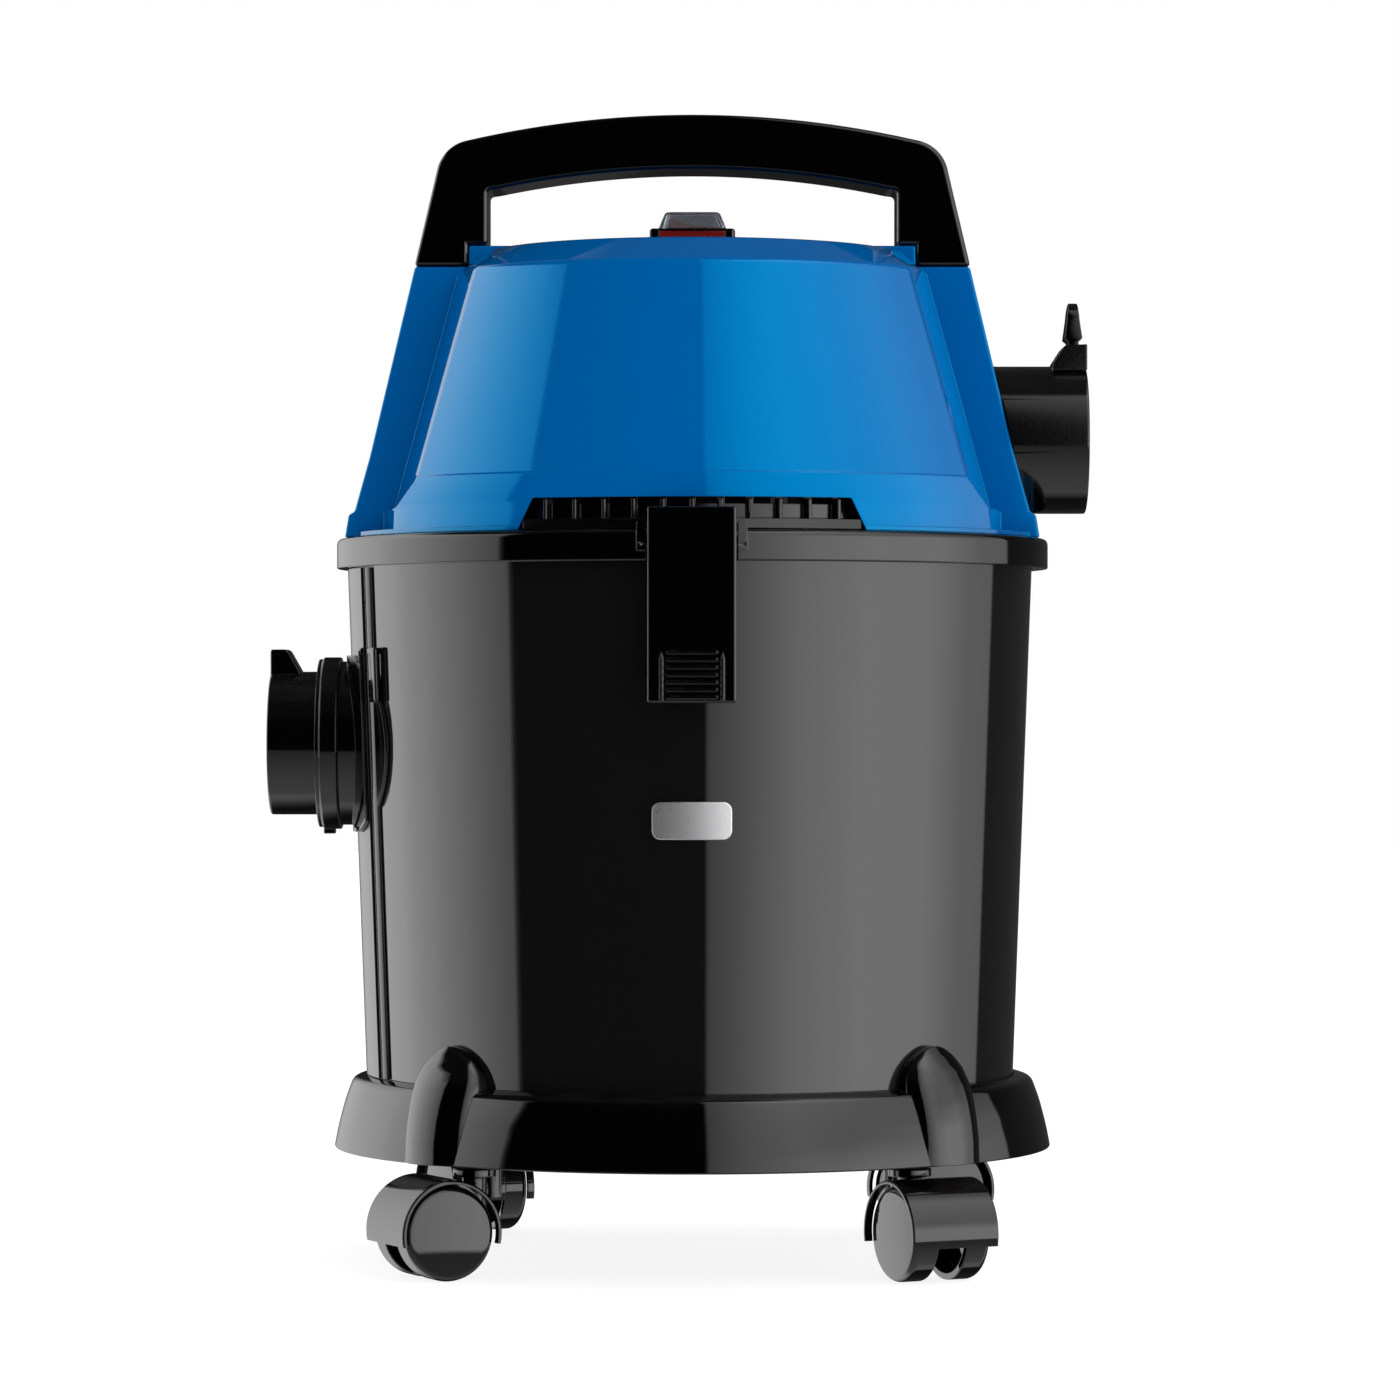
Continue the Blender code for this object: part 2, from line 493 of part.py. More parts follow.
def make_lid():
    lid = head_solid("lid_shell", 0.0, BLUE_GLOSS)
    for side, sign in (("left", -1), ("right", 1)):
        combine(lid, pilaster(side + "_pilaster", sign, 0.0), "UNION")
        combine(lid, box(side + "_shoulder", (sign * 0.070, -0.0176, 0.4100),
                         (sign * SHOULDER_X, 0.0176, SHOULDER_Z)), "UNION")
    combine(lid, head_solid("head_room", WALL))
    for side, sign in (("left", -1), ("right", 1)):
        combine(lid, pilaster(side + "_pilaster_room", sign, WALL))
    combine(lid, turned("foot_flange", [(0.1449, HEAD_LOW_Z + 0.0018), (0.1449, HEAD_LOW_Z - 0.003),
                                        (0.1180, HEAD_LOW_Z - 0.003), (0.1180, HEAD_LOW_Z + 0.0018)]), "UNION")
    combine(lid, box("head_foot_cut", (-0.160, -0.160, 0.290), (0.160, 0.160, HEAD_LOW_Z)))
    combine(lid, box("switch_pad", (-0.0230, -0.0160, 0.4215), (0.0230, 0.0160, 0.4268)), "UNION")
    combine(lid, box("switch_hole", (-0.0125, -0.0085, 0.4150), (0.0125, 0.0085, 0.4350)))
    for side, sign in (("front", -1), ("rear", 1)):
        window = [(-VENT_LOW_HALF, 0.2980), (VENT_LOW_HALF, 0.2980), (VENT_TOP_HALF, VENT_TOP_Z),
                  (-VENT_TOP_HALF, VENT_TOP_Z)]
        combine(lid, outline(side + "_vent_window", window, 0.060, None, (0, sign * 0.140, 0), UPRIGHT))
    # the blower hole leaves a thin skin of the pilaster's side walls, so that they stay whole outside
    hole = rod("blower_hole", (0.090, 0, BLOWER_Z), (0.160, 0, BLOWER_Z), BLOWER_R + 0.0006, facets=32)
    combine(hole, pilaster("hole_limit", 1, 0.0006, reach=0.030), "INTERSECT")
    combine(lid, hole)
    combine(lid, rod("gland_hole", GLAND_FOOT - GLAND_DIRECTION * 0.02, GLAND_FOOT + GLAND_DIRECTION * 0.02,
                     0.0062, facets=16))

    turned("lid_pan", [(0.1330, RIM_TOP_Z), (0.1310, 0.2860), (0.0150, 0.2860), (0.0150, 0.2885),
                       (0.1286, 0.2885), (0.1300, RIM_TOP_Z)], BLACK_MATTE)
    turned("lid_seal", [(0.1388, 0.2985), (0.1384, 0.2940), (0.1336, 0.2925), (0.1336, 0.2985)], RUBBER)


def make_vent_grilles():
    for side, sign in (("front", -1), ("rear", 1)):
        frame = turned("vent_grille_" + side, [(0.1385, 0.3190), (0.1385, 0.3150), (0.1365, 0.3150),
                                               (0.1365, 0.3046), (0.1442, 0.3040), (0.1448, 0.3022),
                                               (0.1340, 0.3022), (0.1340, 0.3190)], BLACK_MATTE)
        combine(frame, box(side + "_grille_zone", (-0.0675, sign * 0.1150, 0.300),
                           (0.0675, sign * 0.1500, 0.330)), "INTERSECT")
        fins = turned(side + "_fin_ring", [(0.1408, 0.3143), (0.1430, 0.3030), (0.1350, 0.3030), (0.1350, 0.3143)])
        fin_boxes = [box(f"{side}_fin_{i}", (LOUVRE_PITCH * (i - 5) - LOUVRE_THICK / 2, sign * 0.1150, 0.3030),
                         (LOUVRE_PITCH * (i - 5) + LOUVRE_THICK / 2, sign * 0.1500, 0.3160))
                     for i in range(LOUVRE_COUNT)]
        comb = fin_boxes[0]
        for fin in fin_boxes[1:]:
            combine(comb, fin, "UNION")
        combine(comb, fins, "INTERSECT")
        combine(frame, comb, "UNION")
        for i in range(LOUVRE_COUNT - 1):
            middle = LOUVRE_PITCH * (i - 4.5)
            combine(frame, box(f"{side}_slot_{i}", (middle - 0.0042, sign * 0.1100, 0.3070),
                               (middle + 0.0042, sign * 0.1450, 0.3120)))


def make_handle():
    """A bowed grip on two legs: the top arc runs into each leaning leg through a round corner."""
    corner_r, top_r, under_r = 0.016, 0.420, 0.400
    foot, shoulder = Vector(HANDLE_FOOT), Vector(HANDLE_SHOULDER)
    along = (shoulder - foot).normalized()
    outward = Vector((along.y, -along.x))
    top_centre = Vector((0.0, HANDLE_TOP_Z - top_r))
    # the corner's centre slides along the leg until its circle touches the top arc from inside
    start = shoulder - outward * corner_r - top_centre
    half = start.dot(along)
    slide = math.sqrt(half ** 2 - start.length_squared + (top_r - corner_r) ** 2) - half
    corner = start + along * slide
    lean_deg = math.degrees(math.atan2(outward.y, outward.x))
    meet_deg = math.degrees(math.atan2(corner.y, corner.x))
    right_corner = arc(corner + top_centre, corner_r, lean_deg, meet_deg, 6)
    top = arc(top_centre, top_r, meet_deg, 180 - meet_deg, 14)[1:-1]
    under_end = HANDLE_INNER_X - 0.004
    spread = math.degrees(math.asin(under_end / under_r))
    under = arc((0, HANDLE_UNDER_Z - under_r), under_r, 90 + spread, 90 - spread, 12)
    step_x, step_z = SHOULDER_X + 0.0020, SHOULDER_Z + GAP
    right_leg = [(HANDLE_INNER_X, under[-1][1] - 0.004), (HANDLE_INNER_X, step_z), (step_x, step_z),
                 (step_x, HANDLE_FOOT[1]), HANDLE_FOOT, *right_corner]
    left_leg = [(-x, z) for x, z in reversed(right_leg)]
    handle = outline("handle", under + right_leg + top + left_leg, HANDLE_DEPTH, BLACK_GLOSS, rotation=UPRIGHT)
    return bevel(handle, 0.0050, 2, 60)


def make_switch():
    low, top = 0.4268 + GAP, 0.4336
    bezel = bevel(box("switch_bezel", (-0.0180, -0.0120, low), (0.0180, 0.0120, top), BLACK_GLOSS), 0.0012, 2)
    combine(bezel, box("bezel_hole", (-0.0113, -0.0071, low - 0.001), (0.0113, 0.0071, top + 0.001)))

    # the rocker tips about a line along Y; its left end stands up when the switch is off
    rocker = [(-0.0100, 0.4360), (-0.0094, 0.4366), (0.0000, 0.4336), (0.0098, 0.4332), (0.0100, 0.4316),
              (0.0060, 0.4272), (-0.0060, 0.4272), (-0.0100, 0.4316)]
    outline("switch_rocker", [(x, z - ROCKER_PIVOT_Z) for x, z in reversed(rocker)], 0.0130, RED_GLOSS,
            (0, 0, ROCKER_PIVOT_Z), UPRIGHT)

    def hood(name, inset, floor):
        top_z = 0.4395 - inset
        wide, deep, narrow, shallow = 0.01415 - inset, 0.0105 - inset, 0.0112 - inset, 0.0078 - inset
        loops = [[(-wide, -deep, floor), (wide, -deep, floor), (wide, deep, floor), (-wide, deep, floor)],
                 [(-narrow, -shallow, top_z), (narrow, -shallow, top_z), (narrow, shallow, top_z),
                  (-narrow, shallow, top_z)]]
        return loops

    boot = loft("switch_boot", hood("outer", 0.0, top + GAP), CLEAR)
    room = loft("boot_room", hood("inner", 0.0009, top + GAP - 0.002))
    combine(boot, room)


def make_latches():
    for side, sign in (("front", -1), ("rear", 1)):
        face, back = LATCH_FACE_Y, LATCH_FACE_Y - 0.0033
        pivot = empty("latch_pivot_" + side, (0, sign * LATCH_PIVOT_Y, LATCH_PIVOT_Z), AXIS,
                      0 if sign < 0 else 180)
        # in the latch's own frame -Y is outwards and the pin is the origin
        out, inner = LATCH_PIVOT_Y - face, LATCH_PIVOT_Y - back
        low, high = LATCH_LOW_Z - LATCH_PIVOT_Z, LATCH_TOP_Z - LATCH_PIVOT_Z
        latch = bevel(box("latch_" + side, (-LATCH_HALF, out, low), (LATCH_HALF, inner, high), BLACK_GLOSS,
                          parent=pivot), 0.0010, 1)
        shift = Vector((0, (out + inner) / 2, (low + high) / 2))
        latch.location = (0, 0, 0)
        for vertex in latch.data.vertices:
            vertex.co += shift
        combine(latch, box(side + "_nose", (-0.0150, inner - 0.001, high - 0.0046),
                           (0.0150, LATCH_PIVOT_Y - 0.1462, high - 0.0006), parent=pivot), "UNION")
        combine(latch, rod(side + "_hub", (-LATCH_HALF + 0.0004, 0, 0), (LATCH_HALF - 0.0004, 0, 0), 0.0029,
                           facets=16, parent=pivot), "UNION")
        combine(latch, box(side + "_hub_web", (-LATCH_HALF + 0.0004, inner - 0.001, -0.0024),
                           (LATCH_HALF - 0.0004, -0.0005, 0.0024), parent=pivot), "UNION")
        combine(latch, rod(side + "_hub_bore", (-0.0200, 0, 0), (0.0200, 0, 0), 0.0018, facets=12, parent=pivot))
        grip_low = 0.2335 - LATCH_PIVOT_Z
        for i in range(7):
            z = grip_low + 0.0015 + 0.00296 * i
            combine(latch, box(f"{side}_rib_{i}", (-0.01015, out - 0.0007, z - 0.0006),
                               (0.01015, out + 0.0010, z + 0.0006), parent=pivot), "UNION")
        rod("latch_pin_" + side, (-0.0210, 0, 0), (0.0210, 0, 0), 0.0015, STEEL, facets=12, parent=pivot)


# ---- blower port, its catch and the cord gland ----
def make_blower():
    start = 0.1090
    tube = turned("blower_tube", [(BLOWER_R, BLOWER_MOUTH - start), (BLOWER_R, 0.0), (BLOWER_R - TUBE_WALL, 0.0),
                                  (BLOWER_R - TUBE_WALL, BLOWER_MOUTH - start)],
                  BLACK_GLOSS, facets=32, location=(start, 0, BLOWER_Z), rotation=(0, math.radians(90), 0))
    boss = [(0.1515, 0.3725), (BLOWER_MOUTH, 0.3725), (BLOWER_MOUTH, 0.3834), (0.1563, 0.3830),
            (0.1515, 0.3755)]
    combine(tube, outline("blower_boss", boss, 0.0300, None, rotation=UPRIGHT), "UNION")
    # the tube is thinned where it passes between the pilaster's side walls
    skin = pilaster("pilaster_skin", 1, -0.0050, reach=GAP - 0.0050)
    combine(skin, pilaster("skin_room", 1, 0.0009, reach=0.030))
    combine(tube, skin)
    combine(tube, box("catch_slot", (0.1560, -0.0102, 0.3762), (0.1648, 0.0102, 0.3900)))
    combine(tube, rod("catch_pin_hole", (CATCH_PIVOT[0], -0.0140, CATCH_PIVOT[2]),
                      (CATCH_PIVOT[0], 0.0140, CATCH_PIVOT[2]), 0.0014, facets=12))

    finger = arc((0, 0.3940), 0.0075, 0, 180, 8) + [(-0.0098, 0.3830), (-0.0098, 0.3768), (0.0098, 0.3768),
                                                    (0.0098, 0.3830)]
    pivot = empty("catch_pivot", CATCH_PIVOT, AXIS)
    catch = outline("blower_latch", [(y, z - CATCH_PIVOT[2]) for y, z in finger], 0.0043, BLACK_GLOSS,
                    rotation=SIDEWAYS, parent=pivot)
    bevel(catch, 0.0008, 1, 60)
    combine(catch, rod("catch_bore", (0, -0.0200, 0), (0, 0.0200, 0), 0.0014, facets=12, parent=pivot))
    rod("blower_latch_pin", (0, -0.0134, 0), (0, 0.0134, 0), 0.0011, STEEL, facets=12, parent=pivot)


def make_gland():
    turned("cord_gland", [(0.0046, 0.0120), (0.0058, 0.0024), (0.0090, 0.0022), (0.0090, 0.0004),
                          (0.0059, 0.0004), (0.0059, -0.0060), (0.0032, -0.0060), (0.0032, 0.0120)],
           BLACK_MATTE, facets=14, location=GLAND_FOOT + GLAND_DIRECTION * 0.0012,
           rotation=Vector((0, 0, 1)).rotation_difference(GLAND_DIRECTION).to_euler())


# ---- inside the head: motor, fan, filter and float ----
def make_motor():
    turned("fan_cover", [(0.0640, 0.3120), (0.0640, 0.2888), (0.0260, 0.2888), (0.0260, 0.2905),
                         (0.0620, 0.2905), (0.0620, 0.3100), (0.0080, 0.3100), (0.0080, 0.3120)],
           STEEL, facets=24)
    turned("motor_can", [(0.0460, 0.3760), (0.0460, 0.3123), (0.0080, 0.3123), (0.0080, 0.3145),
                         (0.0438, 0.3145), (0.0438, 0.3738), (0.0080, 0.3738), (0.0080, 0.3760)],
           STEEL, facets=24)
    turned("motor_shaft", [(0.0, 0.3790), (0.0040, 0.3790), (0.0040, 0.3640), (0.0300, 0.3640),
                           (0.0300, 0.3240), (0.0040, 0.3240), (0.0040, 0.2930), (0.0, 0.2930)],
           STEEL, facets=16, closed=False)
    fan = turned("fan_impeller", [(0.0560, 0.3070), (0.0560, 0.3050), (0.0110, 0.3050), (0.0110, 0.2960),
                                  (0.0043, 0.2960), (0.0043, 0.3070)], STEEL, facets=20)
    for i in range(8):
        spoke = empty(f"blade_frame_{i}", (0, 0, 0), AXIS, 45 * i)
        combine(fan, box(f"blade_{i}", (0.0100, -0.0007, 0.2960), (0.0550, 0.0007, 0.3060), parent=spoke),
                "UNION")
    turned("motor_mount", [(0.0520, 0.3830), (0.0520, 0.3700), (0.0463, 0.3700), (0.0463, 0.3763),
                           (0.0120, 0.3763), (0.0120, 0.3830)], RUBBER, facets=24)


def make_filter():
    turned("filter", [(0.0, 0.2230), (0.0570, 0.2230), (0.0610, 0.2856), (0.0640, 0.2856), (0.0600, 0.2200),
                      (0.0, 0.2200)], FABRIC, facets=24, closed=False)
    cage = turned("float_cage", [(0.0, 0.2280), (0.0380, 0.2280), (0.0380, 0.2857), (0.0400, 0.2857),
                                 (0.0400, 0.2260), (0.0, 0.2260)], BLACK_MATTE, facets=18, closed=False)
    for turn_deg in (0, 60, 120):
        frame = empty(f"cage_frame_{turn_deg}", (0, 0, 0), AXIS, turn_deg)
        combine(cage, box(f"cage_window_{turn_deg}", (-0.0500, -0.0130, 0.2320), (0.0500, 0.0130, 0.2780),
                          parent=frame))

    def build(builder):
        bmesh.ops.create_uvsphere(builder, u_segments=16, v_segments=9, radius=0.0210)

    place("float_ball", mesh_of("float_ball", build), FLOAT_WHITE, (0, 0, 0.2494))


make_drum()
make_seam_strips()
make_inlet()
make_base()
for castor in CASTORS:
    make_castor(*castor)
make_lid()
make_vent_grilles()
make_handle()
make_switch()
make_latches()
make_blower()
make_gland()
make_motor()
make_filter()
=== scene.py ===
"""Looks of the shop vacuum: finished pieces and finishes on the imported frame, studio light and camera.

Lengths are metres. Pieces are worked out from the drum's axis (X to the blower port, -Y to the front latch)
and moved to the object's frame when they are finished.
"""

import math

import bmesh
import bpy
from mathutils import Euler, Matrix, Vector


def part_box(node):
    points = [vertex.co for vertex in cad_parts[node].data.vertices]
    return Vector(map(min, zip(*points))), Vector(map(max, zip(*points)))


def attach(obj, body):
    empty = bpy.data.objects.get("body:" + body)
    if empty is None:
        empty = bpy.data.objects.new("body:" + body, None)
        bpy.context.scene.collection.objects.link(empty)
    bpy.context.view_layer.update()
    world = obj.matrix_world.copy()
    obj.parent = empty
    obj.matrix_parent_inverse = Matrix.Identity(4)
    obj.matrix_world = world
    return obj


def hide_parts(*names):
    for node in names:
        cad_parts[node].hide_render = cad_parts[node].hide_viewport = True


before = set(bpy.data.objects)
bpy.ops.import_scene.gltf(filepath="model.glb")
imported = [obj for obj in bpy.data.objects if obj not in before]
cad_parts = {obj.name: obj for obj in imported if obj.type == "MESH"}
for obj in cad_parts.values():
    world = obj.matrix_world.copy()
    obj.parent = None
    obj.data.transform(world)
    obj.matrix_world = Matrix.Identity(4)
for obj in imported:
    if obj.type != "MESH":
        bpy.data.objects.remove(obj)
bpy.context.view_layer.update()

# ---- camera ----
LENS_MM, SENSOR_MM, FAR_CLIP = 140, 36, 20
CAMERA_SIDE, CAMERA_DISTANCE, CAMERA_HEIGHT = 0.0032, 2.300, 0.234

# ---- sizes shared with the frame ----
AXIS_X = 0.00595
GAP = 0.0003
WALL = 0.0025
DRUM_TOP_Z, DRUM_FLOOR_Z = 0.2990, 0.0550
DRUM_TOP_R, DRUM_FLOOR_R = 0.1434, 0.1343
RIM_R, RIM_LOW_Z, RIM_TOP_Z = 0.1498, 0.2891, 0.3016
EAR_INNER, EAR_HALF, EAR_TOP_Z = 0.0182, 0.0220, 0.3050
PANEL_HALF_DEG, STRIP_DEG, STRIP_SPAN_DEG = 19.1, 20.9, 3.36
STRIP_PROUD, STRIP_GROOVE = 0.0014, 0.0007
BASE_LOW_Z, BASE_TOP_Z, BASE_R = 0.0465, 0.0770, 0.1508
FOOT_HALF, FOOT_TOP_Z, FOOT_R, FOOT_BACK_R, FOOT_FALL = 0.0180, 0.0940, 0.1548, 0.1160, 0.0115
INLET_Z, INLET_R, INLET_MOUTH = 0.2158, 0.03015, 0.1777
INLET_INNER_END = 0.1232
LOCK_RING_R, FLANGE_HALF_HEIGHT, FLANGE_HALF_DEG = 0.03625, 0.0368, 27.6
LOOP_DEG, LOOP_SPAN_DEG, LOOP_TOP_Z, LOOP_LOW_Z = 21.4, 8.6, 0.2556, 0.2330
BLOWER_Z, BLOWER_R, BLOWER_MOUTH = 0.3437, 0.0311, 0.1658
TUBE_WALL = 0.0030
HEAD_LOW_Z = RIM_TOP_Z + GAP
BAND_Z, SKIRT_Z, CHAMFER_Z, CROWN_Z = 0.3125, 0.3247, 0.4117, 0.4224
HEAD_R = ((HEAD_LOW_Z, 0.1450), (BAND_Z, 0.1433), (SKIRT_Z, 0.1415), (CHAMFER_Z, 0.1108), (CROWN_Z, 0.0870))
RECESS_X = ((BAND_Z - 0.0002, 0.1300), (BAND_Z, 0.1258), (0.3340, 0.1200), (0.4130, 0.0987))
RECESS_BEND = ((BAND_Z, 0.372), (0.3340, 0.342), (0.4130, 0.216))
PANEL_EDGE_DEG = ((BAND_Z, 32.0), (SKIRT_Z, 37.6), (0.4130, 37.0))
PILASTER_X = ((HEAD_LOW_Z, 0.1450), (0.3110, 0.1430), (0.3122, 0.1406), (0.3356, 0.1344), (0.4155, 0.1163))
PILASTER_HALF = ((HEAD_LOW_Z, 0.0380), (0.3340, 0.0317), (0.4130, 0.0190))
SHOULDER_X, SHOULDER_Z, SHOULDER_HALF = 0.0936, 0.4245, 0.0176
VENT_TOP_Z, VENT_TOP_HALF, VENT_LOW_HALF = 0.3147, 0.0636, 0.0715
LOUVRE_COUNT, LOUVRE_PITCH, LOUVRE_THICK = 11, 0.0115, 0.0018
HANDLE_TOP_Z, HANDLE_UNDER_Z, HANDLE_INNER_X = 0.4795, 0.4567, 0.0858
HANDLE_SHOULDER, HANDLE_FOOT, HANDLE_DEPTH = (0.1075, 0.4546), (0.1166, 0.4158), 0.0360
LATCH_HALF, LATCH_LOW_Z, LATCH_TOP_Z, LATCH_FACE_Y = 0.01765, 0.2328, 0.3104, 0.1545
LATCH_THICK, LATCH_PIVOT_Y, LATCH_PIVOT_Z = 0.0033, 0.1468, 0.2955
CASTOR_REACH, CASTOR_TRAIL = 0.1250, 0.0180
WHEEL_R, WHEEL_INNER, WHEEL_OUTER = 0.0193, 0.0062, 0.0183
HOOD_R, HOOD_BORE_R, HOOD_HALF, HOOD_TOP_Z = 0.0218, 0.0202, 0.0195, 0.0440
# each castor's name, its place round the drum and the way it trails, in degrees
CASTORS = (("front_left", -135, -154), ("front_right", -45, -64),
           ("rear_right", 45, 26), ("rear_left", 135, 116))
BEZEL_TOP_Z = 0.4323
CATCH_X, CATCH_Z = 0.1604, 0.3797
SIDES = (("front", -1), ("rear", 1))
UPRIGHT = (math.radians(90), 0, 0)      # turns an outline's plane into XZ
SIDEWAYS = (math.radians(90), 0, math.radians(90))      # turns an outline's plane into YZ
ROUND = 180                 # facets round the drum
TUBE_FACETS = 96            # facets round a port
TINY = 0.000002             # points closer than this are merged

# ---- sizes of the finished pieces only ----
PANEL_PROUD, PANEL_THICK = 0.0022, 0.0017
BADGE_CORNER, BADGE_THICK, BADGE_PROUD = 0.0035, 0.0007, 0.00118
FLANGE_HEIGHT, FLANGE_LIP, FLANGE_NECK_R, CHANNEL_GAP_DEG = 0.0041, 0.0016, 0.0345, 0.4
LOOP_PROUD, LOOP_THICK, LOOP_BAR_DEG = 0.0036, 0.0030, 1.4
PIN_BORE_R, CATCH_BORE_R, STEM_BORE_R, AXLE_BORE_R = 0.0018, 0.0014, 0.0043, 0.0023
CASTOR_WEB, CASTOR_ARC, CASTOR_BOSS_R = 0.0052, 0.0034, 0.0088
RIB_COUNT, RIB_PITCH, RIB_HALF, RIB_ROUND, RIB_DEPTH, RIB_LOW_Z = 7, 0.00296, 0.01015, 0.0006, 0.0017, 0.2350
SHOULDER_ROOT_X, SHOULDER_ROOT_Z = 0.070, 0.4100
PAD_HALF_X, PAD_HALF_Y, PAD_ROOT_Z, PAD_TOP_Z = 0.0230, 0.0160, 0.4215, 0.4268
BEZEL_HALF_X, BEZEL_HALF_Y = 0.0180, 0.0120
FLASH_HALF, FLASH_LOW_Z, FLASH_TOP_Z, FLASH_ROOM = 0.0138, 0.4286, 0.4311, 0.0002
SLEEVE_FACETS, PLEAT_COUNT, PLEAT_DEPTH = 240, 40, 0.0028


# ---- camera's place ----
def make_camera():
    lens = bpy.data.cameras.new("front_camera")
    lens.lens = LENS_MM
    lens.sensor_width = SENSOR_MM
    lens.clip_end = FAR_CLIP
    camera = bpy.data.objects.new("front_camera", lens)
    bpy.context.scene.collection.objects.link(camera)
    camera.location = (AXIS_X + CAMERA_SIDE, -CAMERA_DISTANCE, CAMERA_HEIGHT)
    camera.rotation_euler = (math.radians(90), 0, 0)
    bpy.context.scene.camera = camera


make_camera()


# ---- node helpers ----
def link(tree, source, target):
    tree.links.new(source, target)


def math_node(tree, operation, first, second=None, clamp=False):
    node = tree.nodes.new("ShaderNodeMath")
    node.operation = operation
    node.use_clamp = clamp
    for socket, value in zip(node.inputs, (first, second)):
        if value is None:
            continue
        if isinstance(value, (int, float)):
            socket.default_value = value
        else:
            link(tree, value, socket)
    return node.outputs[0]


def noise_node(tree, vector, scale, detail=3.0, roughness=0.5):
    node = tree.nodes.new("ShaderNodeTexNoise")
    link(tree, vector, node.inputs["Vector"])
    for name, value in (("Scale", scale), ("Detail", detail), ("Roughness", roughness)):
        if isinstance(value, (int, float)):
            node.inputs[name].default_value = value
        else:
            link(tree, value, node.inputs[name])
    return node.outputs["Fac"]


def span(tree, value, low, high, to_low=0.0, to_high=1.0):
    node = tree.nodes.new("ShaderNodeMapRange")
    link(tree, value, node.inputs["Value"])
    for name, number in (("From Min", low), ("From Max", high), ("To Min", to_low), ("To Max", to_high)):
        if isinstance(number, (int, float)):
            node.inputs[name].default_value = number
        else:
            link(tree, number, node.inputs[name])
    return node.outputs["Result"]


def mix_colour(tree, factor, first, second):
    node = tree.nodes.new("ShaderNodeMix")
    node.data_type = "RGBA"
    link(tree, factor, node.inputs["Factor"])
    for socket, value in ((node.inputs[6], first), (node.inputs[7], second)):
        if isinstance(value, tuple):
            socket.default_value = (*value, 1.0)
        else:
            link(tree, value, socket)
    return node.outputs[2]


def group_tree(name, inputs, outputs):
    """A shader node group with float inputs and outputs."""
    tree = bpy.data.node_groups.new(name, "ShaderNodeTree")
    for label, value in inputs:
        socket = tree.interface.new_socket(label, in_out="INPUT", socket_type="NodeSocketFloat")
        socket.default_value = value
    for label in outputs:
        tree.interface.new_socket(label, in_out="OUTPUT", socket_type="NodeSocketFloat")
    return tree, tree.nodes.new("NodeGroupInput").outputs, tree.nodes.new("NodeGroupOutput").inputs


# ---- shared effects ----
def make_edge_wear():
    """Finds outer edges and breaks them up, so that they look rubbed."""
    inputs = (("Edge Width", 0.0008), ("Amount", 0.5), ("Breakup Scale", 90.0))
    tree, given, out = group_tree("edge_wear", inputs, ("Mask",))
    rounded = tree.nodes.new("ShaderNodeBevel")
    rounded.samples = 4
    link(tree, given["Edge Width"], rounded.inputs["Radius"])
    surface = tree.nodes.new("ShaderNodeNewGeometry")
    dot = tree.nodes.new("ShaderNodeVectorMath")
    dot.operation = "DOT_PRODUCT"
    link(tree, rounded.outputs["Normal"], dot.inputs[0])
    link(tree, surface.outputs["Normal"], dot.inputs[1])
    edge = span(tree, dot.outputs["Value"], 0.995, 0.90)
    where = tree.nodes.new("ShaderNodeTexCoord").outputs["Object"]
    patches = span(tree, noise_node(tree, where, given["Breakup Scale"], 5.0, 0.65), 0.46, 0.62)
    rubbed = math_node(tree, "MULTIPLY", edge, patches)
    link(tree, math_node(tree, "MULTIPLY", rubbed, given["Amount"], True), out["Mask"])
    return tree


def make_moulded_skin():
    """The skin of a moulding: slow flow marks, a fine grain and a little mottle."""
    inputs = (("Flow Scale", 14.0), ("Grain Scale", 900.0), ("Flow Share", 0.5))
    tree, given, out = group_tree("moulded_skin", inputs, ("Height", "Mottle", "Grain"))
    where = tree.nodes.new("ShaderNodeTexCoord").outputs["Object"]
    flow = noise_node(tree, where, given["Flow Scale"], 2.0, 0.4)
    grain = noise_node(tree, where, given["Grain Scale"], 3.0, 0.6)
    spare = math_node(tree, "SUBTRACT", 1.0, given["Flow Share"])
    height = math_node(tree, "ADD", math_node(tree, "MULTIPLY", flow, given["Flow Share"]),
                       math_node(tree, "MULTIPLY", grain, spare))
    link(tree, height, out["Height"])
    link(tree, noise_node(tree, where, 55.0, 4.0, 0.55), out["Mottle"])
    link(tree, grain, out["Grain"])
    return tree


def make_scuffs():
    """Sparse fine hairline scratches, as handling leaves them."""
    tree, given, out = group_tree("hairline_scuffs", (("Scale", 60.0), ("Amount", 0.3)), ("Mask",))
    where = tree.nodes.new("ShaderNodeTexCoord").outputs["Object"]
    lines = []
    for turn, stretch in ((0.35, 14.0), (-0.6, 11.0)):
        place = tree.nodes.new("ShaderNodeMapping")
        place.inputs["Rotation"].default_value = (turn, turn * 0.5, turn)
        place.inputs["Scale"].default_value = (1.0, 1.0, stretch)
        link(tree, where, place.inputs["Vector"])
        streaks = noise_node(tree, place.outputs["Vector"], given["Scale"], 2.0, 0.7)
        lines.append(span(tree, streaks, 0.70, 0.78))
    both = math_node(tree, "MAXIMUM", lines[0], lines[1])
    link(tree, math_node(tree, "MULTIPLY", both, given["Amount"], True), out["Mask"])
    return tree


